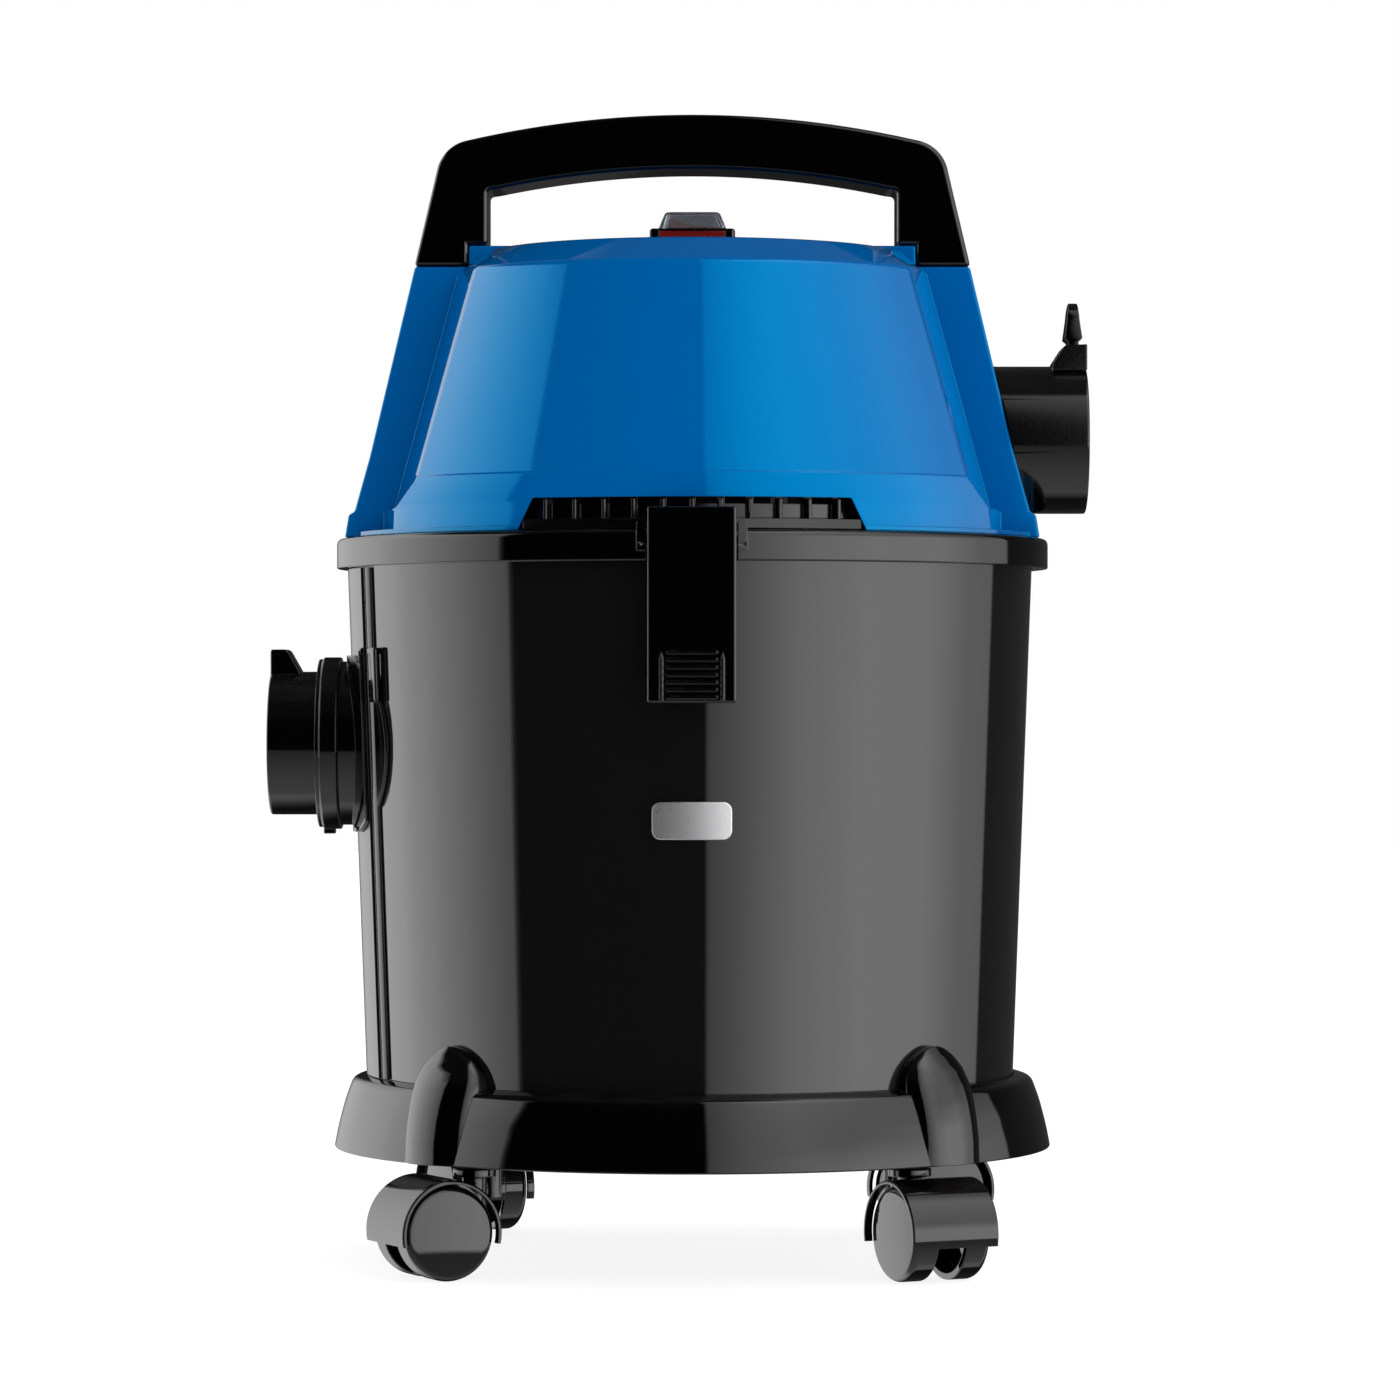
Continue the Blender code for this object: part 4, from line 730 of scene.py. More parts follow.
def make_drum():
    inner_low, outer_low = DRUM_FLOOR_Z + 0.014, DRUM_FLOOR_Z + 0.008
    profile = [(DRUM_FLOOR_R - 0.0120, DRUM_FLOOR_Z + WALL, 0.004),
               (drum_radius(inner_low) - WALL, inner_low, 0.006),
               (DRUM_TOP_R - WALL, DRUM_TOP_Z, 0.0006), (DRUM_TOP_R, DRUM_TOP_Z, 0.0006),
               (drum_radius(outer_low), outer_low, 0.005), (DRUM_FLOOR_R - 0.0080, DRUM_FLOOR_Z, 0.004)]
    points = [(0.0, DRUM_FLOOR_Z + WALL)] + eased(profile, 0.001) + [(0.0, DRUM_FLOOR_Z)]
    drum = turned("drum_shell", points, closed=False)
    combine(drum, inlet_plug("inlet_hole", 0.0009))
    hand_over(drum, DRUM_GREY, "tank", ["drum"])

    rim = turned("rim_collar", eased([(RIM_R, RIM_TOP_Z, 0.0028), (RIM_R, RIM_LOW_Z, 0.0008),
                                      (DRUM_TOP_R + GAP, RIM_LOW_Z, 0.0004),
                                      (DRUM_TOP_R + GAP, DRUM_TOP_Z + GAP, 0.0), (0.1393, DRUM_TOP_Z + GAP, 0.0),
                                      (0.1393, RIM_TOP_Z, 0.0006)], 0.0006, 5))
    for side, sign in SIDES:
        for hand, ear_x in (("left", -1), ("right", 1)):
            ear = turned(f"{side}_{hand}_ear", [(RIM_R + 0.0002, EAR_TOP_Z), (RIM_R + 0.0002, RIM_LOW_Z + 0.004),
                                                (0.1454, RIM_LOW_Z + 0.004), (0.1454, EAR_TOP_Z)])
            # the ear's outer top corner is rounded
            zone = eased([(ear_x * EAR_INNER, 0.280, 0.0), (ear_x * EAR_HALF, 0.280, 0.0),
                          (ear_x * EAR_HALF, EAR_TOP_Z - 0.00001, 0.0016),
                          (ear_x * EAR_INNER, EAR_TOP_Z - 0.00001, 0.0)], 0.0)
            combine(ear, outline(f"{side}_{hand}_zone", zone, 0.030, location=(0, sign * 0.145, 0),
                                 rotation=UPRIGHT), "INTERSECT")
            combine(rim, ear, "UNION")
        combine(rim, box(side + "_pocket", (-EAR_INNER, sign * 0.1385, 0.280),
                         (EAR_INNER, sign * 0.1600, DRUM_TOP_Z - 0.0002)))
        combine(rim, rod(side + "_pin_hole", (-0.0215, sign * LATCH_PIVOT_Y, LATCH_PIVOT_Z),
                         (0.0215, sign * LATCH_PIVOT_Y, LATCH_PIVOT_Z), PIN_BORE_R, 24))
    hand_over(rim, GLOSS_BLACK, "tank", ["drum_rim"])

    low, high = BASE_TOP_Z + GAP, RIM_LOW_Z - GAP
    face = [(drum_radius(z) + PANEL_PROUD, z) for z in (low + (high - low) * i / 6 for i in range(7))]
    panel = curved_plate("inlet_side_panel", face, PANEL_THICK, 180, 2 * PANEL_HALF_DEG, 36)
    combine(panel, inlet_plug("panel_hole", 0.0009))
    hand_over(panel, DRUM_GREY, "tank", ["side_panel"])

    for side, sign in (("front", 1), ("rear", -1)):
        middle = 180 + sign * STRIP_DEG
        loops = []
        for z in (low, high):
            outer = []
            for i in range(33):
                # from one edge, -1, to the other, 1: a rounded back with a groove along its middle
                across = i / 16 - 1
                proud = STRIP_PROUD * math.cos(across * math.pi / 2) ** 0.6 if abs(across) < 1 else 0.0
                proud -= STRIP_GROOVE * max(0.0, 1 - (across / 0.16) ** 2)
                turn = math.radians(middle + across * STRIP_SPAN_DEG / 2)
                reach = drum_radius(z) + 0.0006 + proud
                outer.append((reach * math.cos(turn), reach * math.sin(turn), z))
            inner = [(x * (1 - 0.0004 / drum_radius(z)), y * (1 - 0.0004 / drum_radius(z)), z)
                     for x, y, z in (outer[-1], outer[0])]
            loops.append(outer + inner)
        strip = loft("seam_cover_" + side, loops)
        hand_over(strip, DRUM_GREY, "tank", ["seam_strip_" + side], 40)


def make_badge():
    """A plain silver plate with round ends that follows the drum."""
    low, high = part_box("badge")
    half_x, half_z, middle_z = (high.x - low.x) / 2, (high.z - low.z) / 2, (high.z + low.z) / 2
    corner = BADGE_CORNER
    points = []
    for turn, (x, z) in ((0, (1, 1)), (90, (-1, 1)), (180, (-1, -1)), (270, (1, -1))):
        points += arc((x * (half_x - corner), z * (half_z - corner)), corner, turn, turn + 90, 6)
    plate = outline("badge_plate", points, BADGE_THICK)
    builder = bmesh.new()
    builder.from_mesh(plate.data)
    # cut lines across the plate, on which it bends
    for cut in (0.0, -0.012, -0.008, -0.004, 0.004, 0.008, 0.012):
        bmesh.ops.bisect_plane(builder, geom=builder.verts[:] + builder.edges[:] + builder.faces[:],
                               plane_co=(cut, 0, 0), plane_no=(1, 0, 0))
    builder.to_mesh(plate.data)
    builder.free()
    for vertex in plate.data.vertices:
        x, up, out = vertex.co
        z = middle_z + up
        reach = drum_radius(z) + BADGE_PROUD + out
        vertex.co = (x, -math.sqrt(reach ** 2 - x ** 2), z)
    face_out(plate)
    bevel(plate, 0.0002, 2, 50)
    hand_over(plate, BADGE_SILVER, "tank", ["badge"], 50)


# ---- suction inlet ----
def flange_blank(name, height):
    """The saddle flange: a round-ended plate wrapped on the drum, standing the given height off it."""
    half_y, half_z = math.sin(math.radians(FLANGE_HALF_DEG)) * drum_radius(INLET_Z), FLANGE_HALF_HEIGHT
    points = arc((half_y - half_z, 0), half_z, -90, 90, 40) + arc((half_z - half_y, 0), half_z, 90, 270, 40)
    plate = outline(name, points, 0.080, location=(-0.125, 0, INLET_Z), rotation=SIDEWAYS)
    low, high = INLET_Z - 0.045, INLET_Z + 0.045
    ring = turned(name + "_ring", [(drum_radius(high) + height, high), (drum_radius(low) + height, low),
                                   (drum_radius(low) + 0.0004, low), (drum_radius(high) + 0.0004, high)],
                  facets=240)
    return combine(plate, ring, "INTERSECT")


def make_inlet():
    flange = flange_blank("saddle_flange", FLANGE_HEIGHT)
    neck = rod("neck", (-0.1400, 0, INLET_Z), (-0.1477, 0, INLET_Z), FLANGE_NECK_R, TUBE_FACETS)
    combine(flange, neck, "UNION")
    under = [(drum_radius(z) + PANEL_PROUD + GAP, z) for z in (0.28, 0.15)]
    combine(flange, curved_plate("panel_relief", under, 0.0060, 180,
                                 2 * PANEL_HALF_DEG + CHANNEL_GAP_DEG, 40))
    above = [(drum_radius(z) + 0.0090, z) for z in (0.28, 0.15)]
    lip_start, lip_end = STRIP_DEG + STRIP_SPAN_DEG / 2, FLANGE_HALF_DEG + 4
    for side, sign in (("front", 1), ("rear", -1)):
        # outside the seam strip the flange thins to a lip, with a loop over the strip's place
        combine(flange, curved_plate(side + "_lip", above, 0.0090 - FLANGE_LIP,
                                     180 + sign * (lip_start + lip_end) / 2, lip_end - lip_start, 12))
        middle = 180 + sign * LOOP_DEG
        rows = [(drum_radius(z) + LOOP_PROUD, z) for z in (LOOP_TOP_Z, LOOP_LOW_Z)]
        loop = bevel(curved_plate(side + "_loop", rows, LOOP_THICK, middle, LOOP_SPAN_DEG, 12), 0.0010, 3, 50)
        window = [(drum_radius(z) + 0.0080, z) for z in (LOOP_TOP_Z - 0.0026, LOOP_TOP_Z - 0.0130)]
        combine(loop, curved_plate(side + "_loop_window", window, 0.0100, middle,
                                   LOOP_SPAN_DEG - 2 * LOOP_BAR_DEG, 8))
        combine(flange, loop, "UNION")
        combine(flange, curved_plate(side + "_channel", above, 0.0090, 180 + sign * STRIP_DEG,
                                     STRIP_SPAN_DEG + CHANNEL_GAP_DEG, 8))
    combine(flange, inlet_plug("flange_bore", 0.0006))
    hand_over(flange, PORT_BLACK, "tank", ["inlet_flange"])

    ring_profile = eased([(LOCK_RING_R - 0.0008, 0.0094, 0.0005), (LOCK_RING_R - 0.0008, 0.0076, 0.0003),
                          (LOCK_RING_R, 0.0072, 0.0005), (LOCK_RING_R, 0.0, 0.0006),
                          (INLET_R + 0.0005, 0.0, 0.0), (INLET_R + 0.0005, 0.0094, 0.0003)], 0.0004, 4)
    ring = turned("lock_ring", ring_profile, TUBE_FACETS, location=(-0.1480, 0, INLET_Z),
                  rotation=(0, math.radians(-90), 0))
    peg = box("peg", (-0.1556, -0.0020, INLET_Z - 0.0382), (-0.1506, 0.0020, INLET_Z - 0.0340))
    combine(ring, bevel(peg, 0.0005, 2), "UNION")
    hand_over(ring, PORT_BLACK, "tank", ["inlet_ring"])

    length = INLET_MOUTH - INLET_INNER_END
    tube_profile = eased([(INLET_R, length, 0.0010), (INLET_R, 0.0, 0.0004), (INLET_R - TUBE_WALL, 0.0, 0.0004),
                          (INLET_R - TUBE_WALL, length, 0.0010)], 0.0006, 4)
    tube = turned("suction_tube", tube_profile, TUBE_FACETS, location=(-INLET_INNER_END, 0, INLET_Z),
                  rotation=(0, math.radians(-90), 0))
    boss = eased([(-INLET_MOUTH, 0.0280, 0.0), (-INLET_MOUTH, 0.0395, 0.0012), (-0.1701, 0.0395, 0.0016),
                  (-0.1646, 0.0298, 0.0016), (-0.1646, 0.0280, 0.0)], 0.001, 5)
    block = outline("suction_boss", boss, 0.016, location=(0, 0, INLET_Z), rotation=UPRIGHT)
    block = bevel(block, 0.0009, 3, 60)
    combine(tube, block, "UNION")
    hand_over(tube, PORT_BLACK, "tank", ["inlet_tube"])


# ---- base ring ----
def make_base():
    skirt = [(0.1370, BASE_TOP_Z, 0.0004), (0.1428, BASE_TOP_Z - 0.0015, 0.0022), (0.1462, 0.0665, 0.0040),
             (0.1492, 0.0550, 0.0040), (BASE_R, BASE_LOW_Z, 0.0010), (BASE_R - WALL, BASE_LOW_Z, 0.0006),
             (BASE_R - WALL - 0.0010, 0.0520, 0.0006), (0.1180, 0.0520, 0.0008), (0.1180, 0.0570, 0.0008),
             (0.1330, 0.0570, 0.0006), (0.1330, BASE_TOP_Z, 0.0004)]
    base = turned("base_skirt", eased(skirt, 0.001, 5))
    foot_low = BASE_LOW_Z + 0.0004
    lean = ((foot_low, FOOT_R), (0.0560, 0.1545), (0.0640, 0.1534), (0.0720, 0.1516), (0.0790, 0.1492),
            (0.0850, 0.1462), (0.0900, 0.1426), (FOOT_TOP_Z, 0.1392))
    room = turned("drum_room", [(0.0, 0.1100), (drum_radius(0.1100) + 0.0005, 0.1100),
                                (drum_radius(DRUM_FLOOR_Z) + 0.0005, DRUM_FLOOR_Z - GAP),
                                (0.0, DRUM_FLOOR_Z - GAP)], closed=False)
    for name, place_deg, _ in CASTORS:
        corner = Matrix.Rotation(math.radians(place_deg), 4, "Z")
        shoulder = FOOT_TOP_Z - FOOT_HALF
        heights = [foot_low + (shoulder - foot_low) * i / 10 for i in range(10)]
        heights += [shoulder + FOOT_HALF * math.sin(math.radians(a)) for a in range(0, 86, 5)]
        loops = []
        for z in heights:
            above = max(0.0, z - shoulder)
            half = math.sqrt(max(FOOT_HALF ** 2 - above ** 2, 0.0))
            # a foot is a round nose: its face falls away to both sides
            fall = FOOT_FALL * (half / FOOT_HALF) ** 1.5
            turns = [math.radians(a) for a in range(-90, 91, 6)]
            nose = [(at(lean, z) - fall * (1 - math.cos(a)), half * math.sin(a), z) for a in turns]
            loops.append([(FOOT_BACK_R, -half, z)] + nose + [(FOOT_BACK_R, half, z)])
        foot = loft(name + "_foot", loops, parent=corner)
        combine(base, foot, "UNION")
        combine(base, rod(name + "_socket", (CASTOR_REACH, 0, 0.040), (CASTOR_REACH, 0, 0.0531), STEM_BORE_R,
                          32, parent=corner))
    combine(base, room)
    hand_over(base, GLOSS_BLACK, "tank", ["base_ring"])


# ---- castors ----
def make_castor(name, place_deg, trail_deg):
    reach = math.radians(place_deg)
    pivot = (Matrix.Translation((CASTOR_REACH * math.cos(reach), CASTOR_REACH * math.sin(reach), 0))
             @ Matrix.Rotation(math.radians(trail_deg), 4, "Z"))
    hood = rod("fender_" + name, (CASTOR_TRAIL, -HOOD_HALF, WHEEL_R), (CASTOR_TRAIL, HOOD_HALF, WHEEL_R),
               HOOD_R, 96, parent=pivot)
    bevel(hood, 0.0010, 3, 60)
    for sign in (-1, 1):
        # a wheel well on each side of the web, open behind except for an arc at its outer edge
        combine(hood, rod("well", (CASTOR_TRAIL, sign * CASTOR_WEB, WHEEL_R),
                          (CASTOR_TRAIL, sign * 0.03, WHEEL_R), HOOD_BORE_R, 96, parent=pivot))
        combine(hood, box("window", (CASTOR_TRAIL - 0.0300, sign * CASTOR_WEB, 0.0),
                          (CASTOR_TRAIL - 0.0060, sign * (HOOD_HALF - CASTOR_ARC), 0.05), parent=pivot))
    combine(hood, box("ground_cut", (CASTOR_TRAIL - 0.03, -0.03, -0.01),
                      (CASTOR_TRAIL + 0.03, 0.03, WHEEL_R - 0.0045), parent=pivot))
    boss = [(0.0, HOOD_TOP_Z), (CASTOR_BOSS_R - 0.0004, HOOD_TOP_Z), (CASTOR_BOSS_R, HOOD_TOP_Z - 0.0005),
            (CASTOR_BOSS_R, 0.0408), (0.0050, 0.0400), (0.0050, 0.0160), (0.0, 0.0160)]
    combine(hood, turned("boss", boss, 48, closed=False, parent=pivot), "UNION")
    combine(hood, rod("stem_bore", (0, 0, 0.0220), (0, 0, 0.0500), STEM_BORE_R, 30, parent=pivot))
    combine(hood, rod("axle_bore", (CASTOR_TRAIL, -0.0100, WHEEL_R), (CASTOR_TRAIL, 0.0100, WHEEL_R),
                      AXLE_BORE_R, 24, parent=pivot))
    hand_over(hood, GLOSS_BLACK, "castor_" + name, ["castor_hood_" + name])

    width = WHEEL_OUTER - WHEEL_INNER
    dome_r, dome_fall = WHEEL_R - 0.0012, 0.0012
    dome = [(dome_r * i / 8, width - dome_fall * (i / 8) ** 2, 0.0) for i in range(1, 8)]
    # from the domed disc over the tread to the hollow back and its hub
    profile = dome + [(dome_r, width - dome_fall, 0.0012), (WHEEL_R, width - 0.0030, 0.0010),
                      (WHEEL_R, 0.0, 0.0006), (0.0165, 0.0, 0.0004), (0.0160, 0.0075, 0.0008),
                      (0.0060, 0.0075, 0.0008), (0.0050, 0.0, 0.0004), (0.0024, 0.0, 0.0),
                      (0.0024, 0.0100, 0.0)]
    points = [(0.0, width)] + eased(profile, 0.0005, 4) + [(0.0, 0.0100)]
    for side, sign in (("a", -1), ("b", 1)):
        wheel = turned(f"wheel_{name}_{side}", points, 64, closed=False,
                       location=(CASTOR_TRAIL, sign * WHEEL_INNER, WHEEL_R),
                       rotation=(math.radians(-90 * sign), 0, 0), parent=pivot)
        hand_over(wheel, GLOSS_BLACK, f"wheel_{name}_{side}", [f"castor_wheel_{name}_{side}"])


# ---- motor head ----
def recess_reach(z, turn_deg, inset):
    """How far the head's side recess lies from the axis, in a direction turned from +X."""
    depth, bend = at(RECESS_X, z) - inset, at(RECESS_BEND, z)
    cosine, sine = math.cos(math.radians(turn_deg)), math.sin(math.radians(turn_deg))
    if sine < 0.001:
        return depth
    return (math.sqrt(cosine ** 2 + 2 * sine ** 2 * depth / bend) - cosine) * bend / sine ** 2


def head_outline(z, radius, inset, height):
    """One level of the head: round panels in front and behind, shallower recesses at the sides."""
    edge = at(PANEL_EDGE_DEG, z)
    quarter = [(edge * i / 8, min(radius, recess_reach(z, edge * i / 8, inset))) for i in range(9)]
    quarter += [(edge + 0.4 + (90 - edge - 0.4) * i / 22, radius) for i in range(23)]
    loop = quarter + [(180 - turn, reach) for turn, reach in reversed(quarter[:-1])]
    loop += [(turn + 180, reach) for turn, reach in loop[1:-1]]
    return [(reach * math.cos(math.radians(turn)), reach * math.sin(math.radians(turn)), height)
            for turn, reach in loop]


def head_solid(name, inset):
    """The head's outer skin, or with an inset its inner skin. Its shoulders are rounded in profile."""
    sections = [(radius - inset, z) for z, radius in HEAD_R]
    shaped = [(sections[0][0], sections[0][1] - (0.010 if inset else 0.002), 0.0), (*sections[1], 0.0012),
              (*sections[2], 0.0005), (sections[2][0] - 0.0006, sections[2][1] + 0.0005, 0.0005),
              (sections[3][0], sections[3][1] - inset * 0.5, 0.0016),
              (sections[4][0], sections[4][1] - inset, 0.0020), (0.030, CROWN_Z + 0.0032 - inset, 0.0)]
    profile = eased(shaped, 0.0, 5, closed=False)
    levels = []
    for (low_r, low_z), (high_r, high_z) in zip(profile, profile[1:]):
        pieces = max(1, round((high_z - low_z) / 0.012))
        levels += [(low_r + (high_r - low_r) * i / pieces, low_z + (high_z - low_z) * i / pieces)
                   for i in range(pieces)]
    levels.append(profile[-1])
    loops = [head_outline(z, radius, inset, z) for radius, z in levels]
    return loft(name, loops)


def pilaster(name, sign, inset, reach=0.0):
    """The tapered post at one side of the head that carries the handle. Its face may reach further out."""
    levels = [z for z, _ in PILASTER_X]
    loops = []
    for z in levels:
        height = z
        if z == levels[0]:
            height -= 0.012 if inset else 0.004
        if z == levels[-1]:
            height -= inset
        half, face = at(PILASTER_HALF, z) - inset, at(PILASTER_X, z) - inset + reach
        loop = [(0.080, -half, height), (face, -half, height), (face, half, height), (0.080, half, height)]
        loops.append([(sign * x, sign * y, level) for x, y, level in loop])
    post = loft(name, loops)
    return bevel(post, 0.0010, 3, 40) if inset == 0.0 else post


GLAND_DIRECTION = Vector((math.cos(math.radians(62)), math.sin(math.radians(62)), 0.22)).normalized()
GLAND_FOOT = Vector((0.1392 * math.cos(math.radians(62)), 0.1392 * math.sin(math.radians(62)), 0.3310))


def make_lid():
    lid = head_solid("head_shell", 0.0)
    for side, sign in (("left", -1), ("right", 1)):
        combine(lid, pilaster(side + "_pilaster", sign, 0.0), "UNION")
        block = box(side + "_shoulder", (sign * SHOULDER_ROOT_X, -SHOULDER_HALF, SHOULDER_ROOT_Z),
                    (sign * SHOULDER_X, SHOULDER_HALF, SHOULDER_Z))
        combine(lid, bevel(block, 0.0008, 3), "UNION")
    combine(lid, head_solid("head_room", WALL))
    for side, sign in (("left", -1), ("right", 1)):
        combine(lid, pilaster(side + "_pilaster_room", sign, WALL))
    combine(lid, turned("foot_flange", [(0.1449, HEAD_LOW_Z + 0.0018), (0.1449, HEAD_LOW_Z - 0.003),
                                        (0.1180, HEAD_LOW_Z - 0.003), (0.1180, HEAD_LOW_Z + 0.0018)]), "UNION")
    combine(lid, box("foot_cut", (-0.160, -0.160, 0.290), (0.160, 0.160, HEAD_LOW_Z)))
    pad = box("switch_pad", (-PAD_HALF_X, -PAD_HALF_Y, PAD_ROOT_Z), (PAD_HALF_X, PAD_HALF_Y, PAD_TOP_Z))
    combine(lid, bevel(pad, 0.0010, 3), "UNION")
    combine(lid, box("switch_hole", (-0.0125, -0.0085, 0.4150), (0.0125, 0.0085, 0.4350)))
    for side, sign in SIDES:
        window = eased([(-VENT_LOW_HALF, 0.2980, 0.0), (VENT_LOW_HALF, 0.2980, 0.0),
                        (VENT_TOP_HALF, VENT_TOP_Z, 0.0008), (-VENT_TOP_HALF, VENT_TOP_Z, 0.0008)], 0.0, 4)
        combine(lid, outline(side + "_window", window, 0.060, location=(0, sign * 0.140, 0),
                             rotation=UPRIGHT))
    # the hole leaves a thin skin of the pilaster's side walls, so that they stay whole outside
    hole = rod("blower_hole", (0.090, 0, BLOWER_Z), (0.160, 0, BLOWER_Z), BLOWER_R + 0.0006, TUBE_FACETS)
    combine(hole, pilaster("hole_limit", 1, 0.0006, reach=0.030), "INTERSECT")
    combine(lid, hole)
    combine(lid, rod("gland_hole", GLAND_FOOT - GLAND_DIRECTION * 0.02, GLAND_FOOT + GLAND_DIRECTION * 0.02,
                     0.0062, 32))
    hand_over(lid, HEAD_BLUE, "head", ["lid_shell"], 28)


def make_vent_grilles():
    for side, sign in SIDES:
        frame_profile = [(0.1385, 0.3190), (0.1385, 0.3150), (0.1365, 0.3150), (0.1365, 0.3066),
                         (0.1438, 0.3060), (0.1448, 0.3022), (0.1340, 0.3022), (0.1340, 0.3190)]
        grille = turned("vent_frame_" + side, frame_profile)
        zone = box("zone", (-0.0675, sign * 0.1150, 0.300), (0.0675, sign * 0.1500, 0.330))
        combine(grille, zone, "INTERSECT")
        slot_span = LOUVRE_PITCH - 2 * 0.00155
        for i in range(LOUVRE_COUNT - 1):
            middle = LOUVRE_PITCH * (i - (LOUVRE_COUNT - 2) / 2)
            combine(grille, box("slot", (middle - slot_span / 2, sign * 0.1100, 0.3122),
                                (middle + slot_span / 2, sign * 0.1450, 0.3148)))
        fin = bevel(box("fin", (-LOUVRE_THICK / 2, -0.0032, 0.3030), (LOUVRE_THICK / 2, 0.0032, 0.3143)),
                    0.0004, 1)
        grow(fin, BAR_ROW, Count=LOUVRE_COUNT, Step_X=LOUVRE_PITCH, Bow_Radius=0.1384)
        fin.data.transform(Matrix.Translation((0, -0.1384, 0)))
        if sign > 0:
            fin.data.transform(Matrix.Rotation(math.pi, 4, "Z"))
        combine(grille, fin, "UNION")
        hand_over(grille, VENT_BLACK, "head", ["vent_grille_" + side])


def make_handle():
    """A bowed grip on two legs: the top arc runs into each leaning leg through a round corner."""
    corner_r, top_r, under_r = 0.016, 0.420, 0.400
    foot, shoulder = Vector(HANDLE_FOOT), Vector(HANDLE_SHOULDER)
    along = (shoulder - foot).normalized()
    outward = Vector((along.y, -along.x))
    top_centre = Vector((0.0, HANDLE_TOP_Z - top_r))
    start = shoulder - outward * corner_r - top_centre
    half = start.dot(along)
    slide = math.sqrt(half ** 2 - start.length_squared + (top_r - corner_r) ** 2) - half
    corner = start + along * slide
    lean_deg = math.degrees(math.atan2(outward.y, outward.x))
    meet_deg = math.degrees(math.atan2(corner.y, corner.x))
    right_corner = arc(corner + top_centre, corner_r, lean_deg, meet_deg, 20)
    top = arc(top_centre, top_r, meet_deg, 180 - meet_deg, 36)[1:-1]
    under_end = HANDLE_INNER_X - 0.004
    spread = math.degrees(math.asin(under_end / under_r))
    under = arc((0, HANDLE_UNDER_Z - under_r), under_r, 90 + spread, 90 - spread, 32)
    step_x, step_z = SHOULDER_X + GAP, SHOULDER_Z + GAP
    inner_corner = eased([under[-1], (HANDLE_INNER_X, under[-1][1] - 0.0005, 0.0045),
                          (HANDLE_INNER_X, step_z, 0.0)], 0.0, 6, closed=False)[1:-1]
    right_leg = inner_corner + [(HANDLE_INNER_X, step_z), (step_x, step_z), (step_x, HANDLE_FOOT[1])]
    right_leg += [HANDLE_FOOT] + right_corner
    left_leg = [(-x, z) for x, z in reversed(right_leg)]
    handle = outline("carry_handle", under + right_leg + top + left_leg, HANDLE_DEPTH, rotation=UPRIGHT)
    bevel(handle, 0.0050, 6, 60)
    hand_over(handle, GLOSS_BLACK, "head", ["handle"])


def make_switch():
    low, top = PAD_TOP_Z + GAP, BEZEL_TOP_Z
    bezel = bevel(box("switch_frame", (-BEZEL_HALF_X, -BEZEL_HALF_Y, low), (BEZEL_HALF_X, BEZEL_HALF_Y, top)),
                  0.0014, 4)
    combine(bezel, box("hole", (-0.0113, -0.0071, low - 0.001), (0.0113, 0.0071, top + 0.001)))
    for side, sign in SIDES:
        # a red flash let into the bezel's face
        flash = box("switch_flash_" + side, (-FLASH_HALF, sign * 0.0116, FLASH_LOW_Z),
                    (FLASH_HALF, sign * 0.01195, FLASH_TOP_Z))
        seat_low = (-FLASH_HALF - FLASH_ROOM, sign * 0.0114, FLASH_LOW_Z - FLASH_ROOM)
        seat_high = (FLASH_HALF + FLASH_ROOM, sign * 0.0130, FLASH_TOP_Z + FLASH_ROOM)
        combine(bezel, box("flash_seat", seat_low, seat_high))
        hand_over(bevel(flash, 0.00012, 2), ROCKER_RED, "head", [])
    hand_over(bezel, GLOSS_BLACK, "head", ["switch_bezel"])

    paddle = [(-0.0100, 0.4360, 0.0003), (-0.0094, 0.4366, 0.0003), (0.0000, 0.4336, 0.003),
              (0.0098, 0.4332, 0.0004), (0.0100, 0.4316, 0.0004), (0.0060, 0.4272, 0.0006),
              (-0.0060, 0.4272, 0.0006), (-0.0100, 0.4316, 0.0004)]
    rocker = outline("switch_paddle", eased(list(reversed(paddle)), 0.0004, 4), 0.0130, rotation=UPRIGHT)
    bevel(rocker, 0.0004, 2, 50)
    hand_over(rocker, ROCKER_RED, "rocker", ["switch_rocker"])

    def ring(half_x, half_y, corner, height):
        points = []
        for turn, (x, y) in ((0, (1, 1)), (90, (-1, 1)), (180, (-1, -1)), (270, (1, -1))):
            points += arc((x * (half_x - corner), y * (half_y - corner)), corner, turn, turn + 90, 6)
        return [(x, y, height) for x, y in points]

    def hood(name, inset, floor):
        rows = [(0.01415, 0.0105, floor), (0.0118, 0.0084, 0.4385 - inset), (0.0112, 0.0078, 0.4392 - inset),
                (0.0104, 0.0070, 0.4395 - inset)]
        return loft(name, [ring(wide - inset, deep - inset, 0.0016, height) for wide, deep, height in rows])

    boot = hood("splash_boot", 0.0, top + GAP)
    combine(boot, hood("boot_room", 0.0009, top + GAP - 0.002))
    hand_over(boot, BOOT_CLEAR, "head", ["switch_boot"])


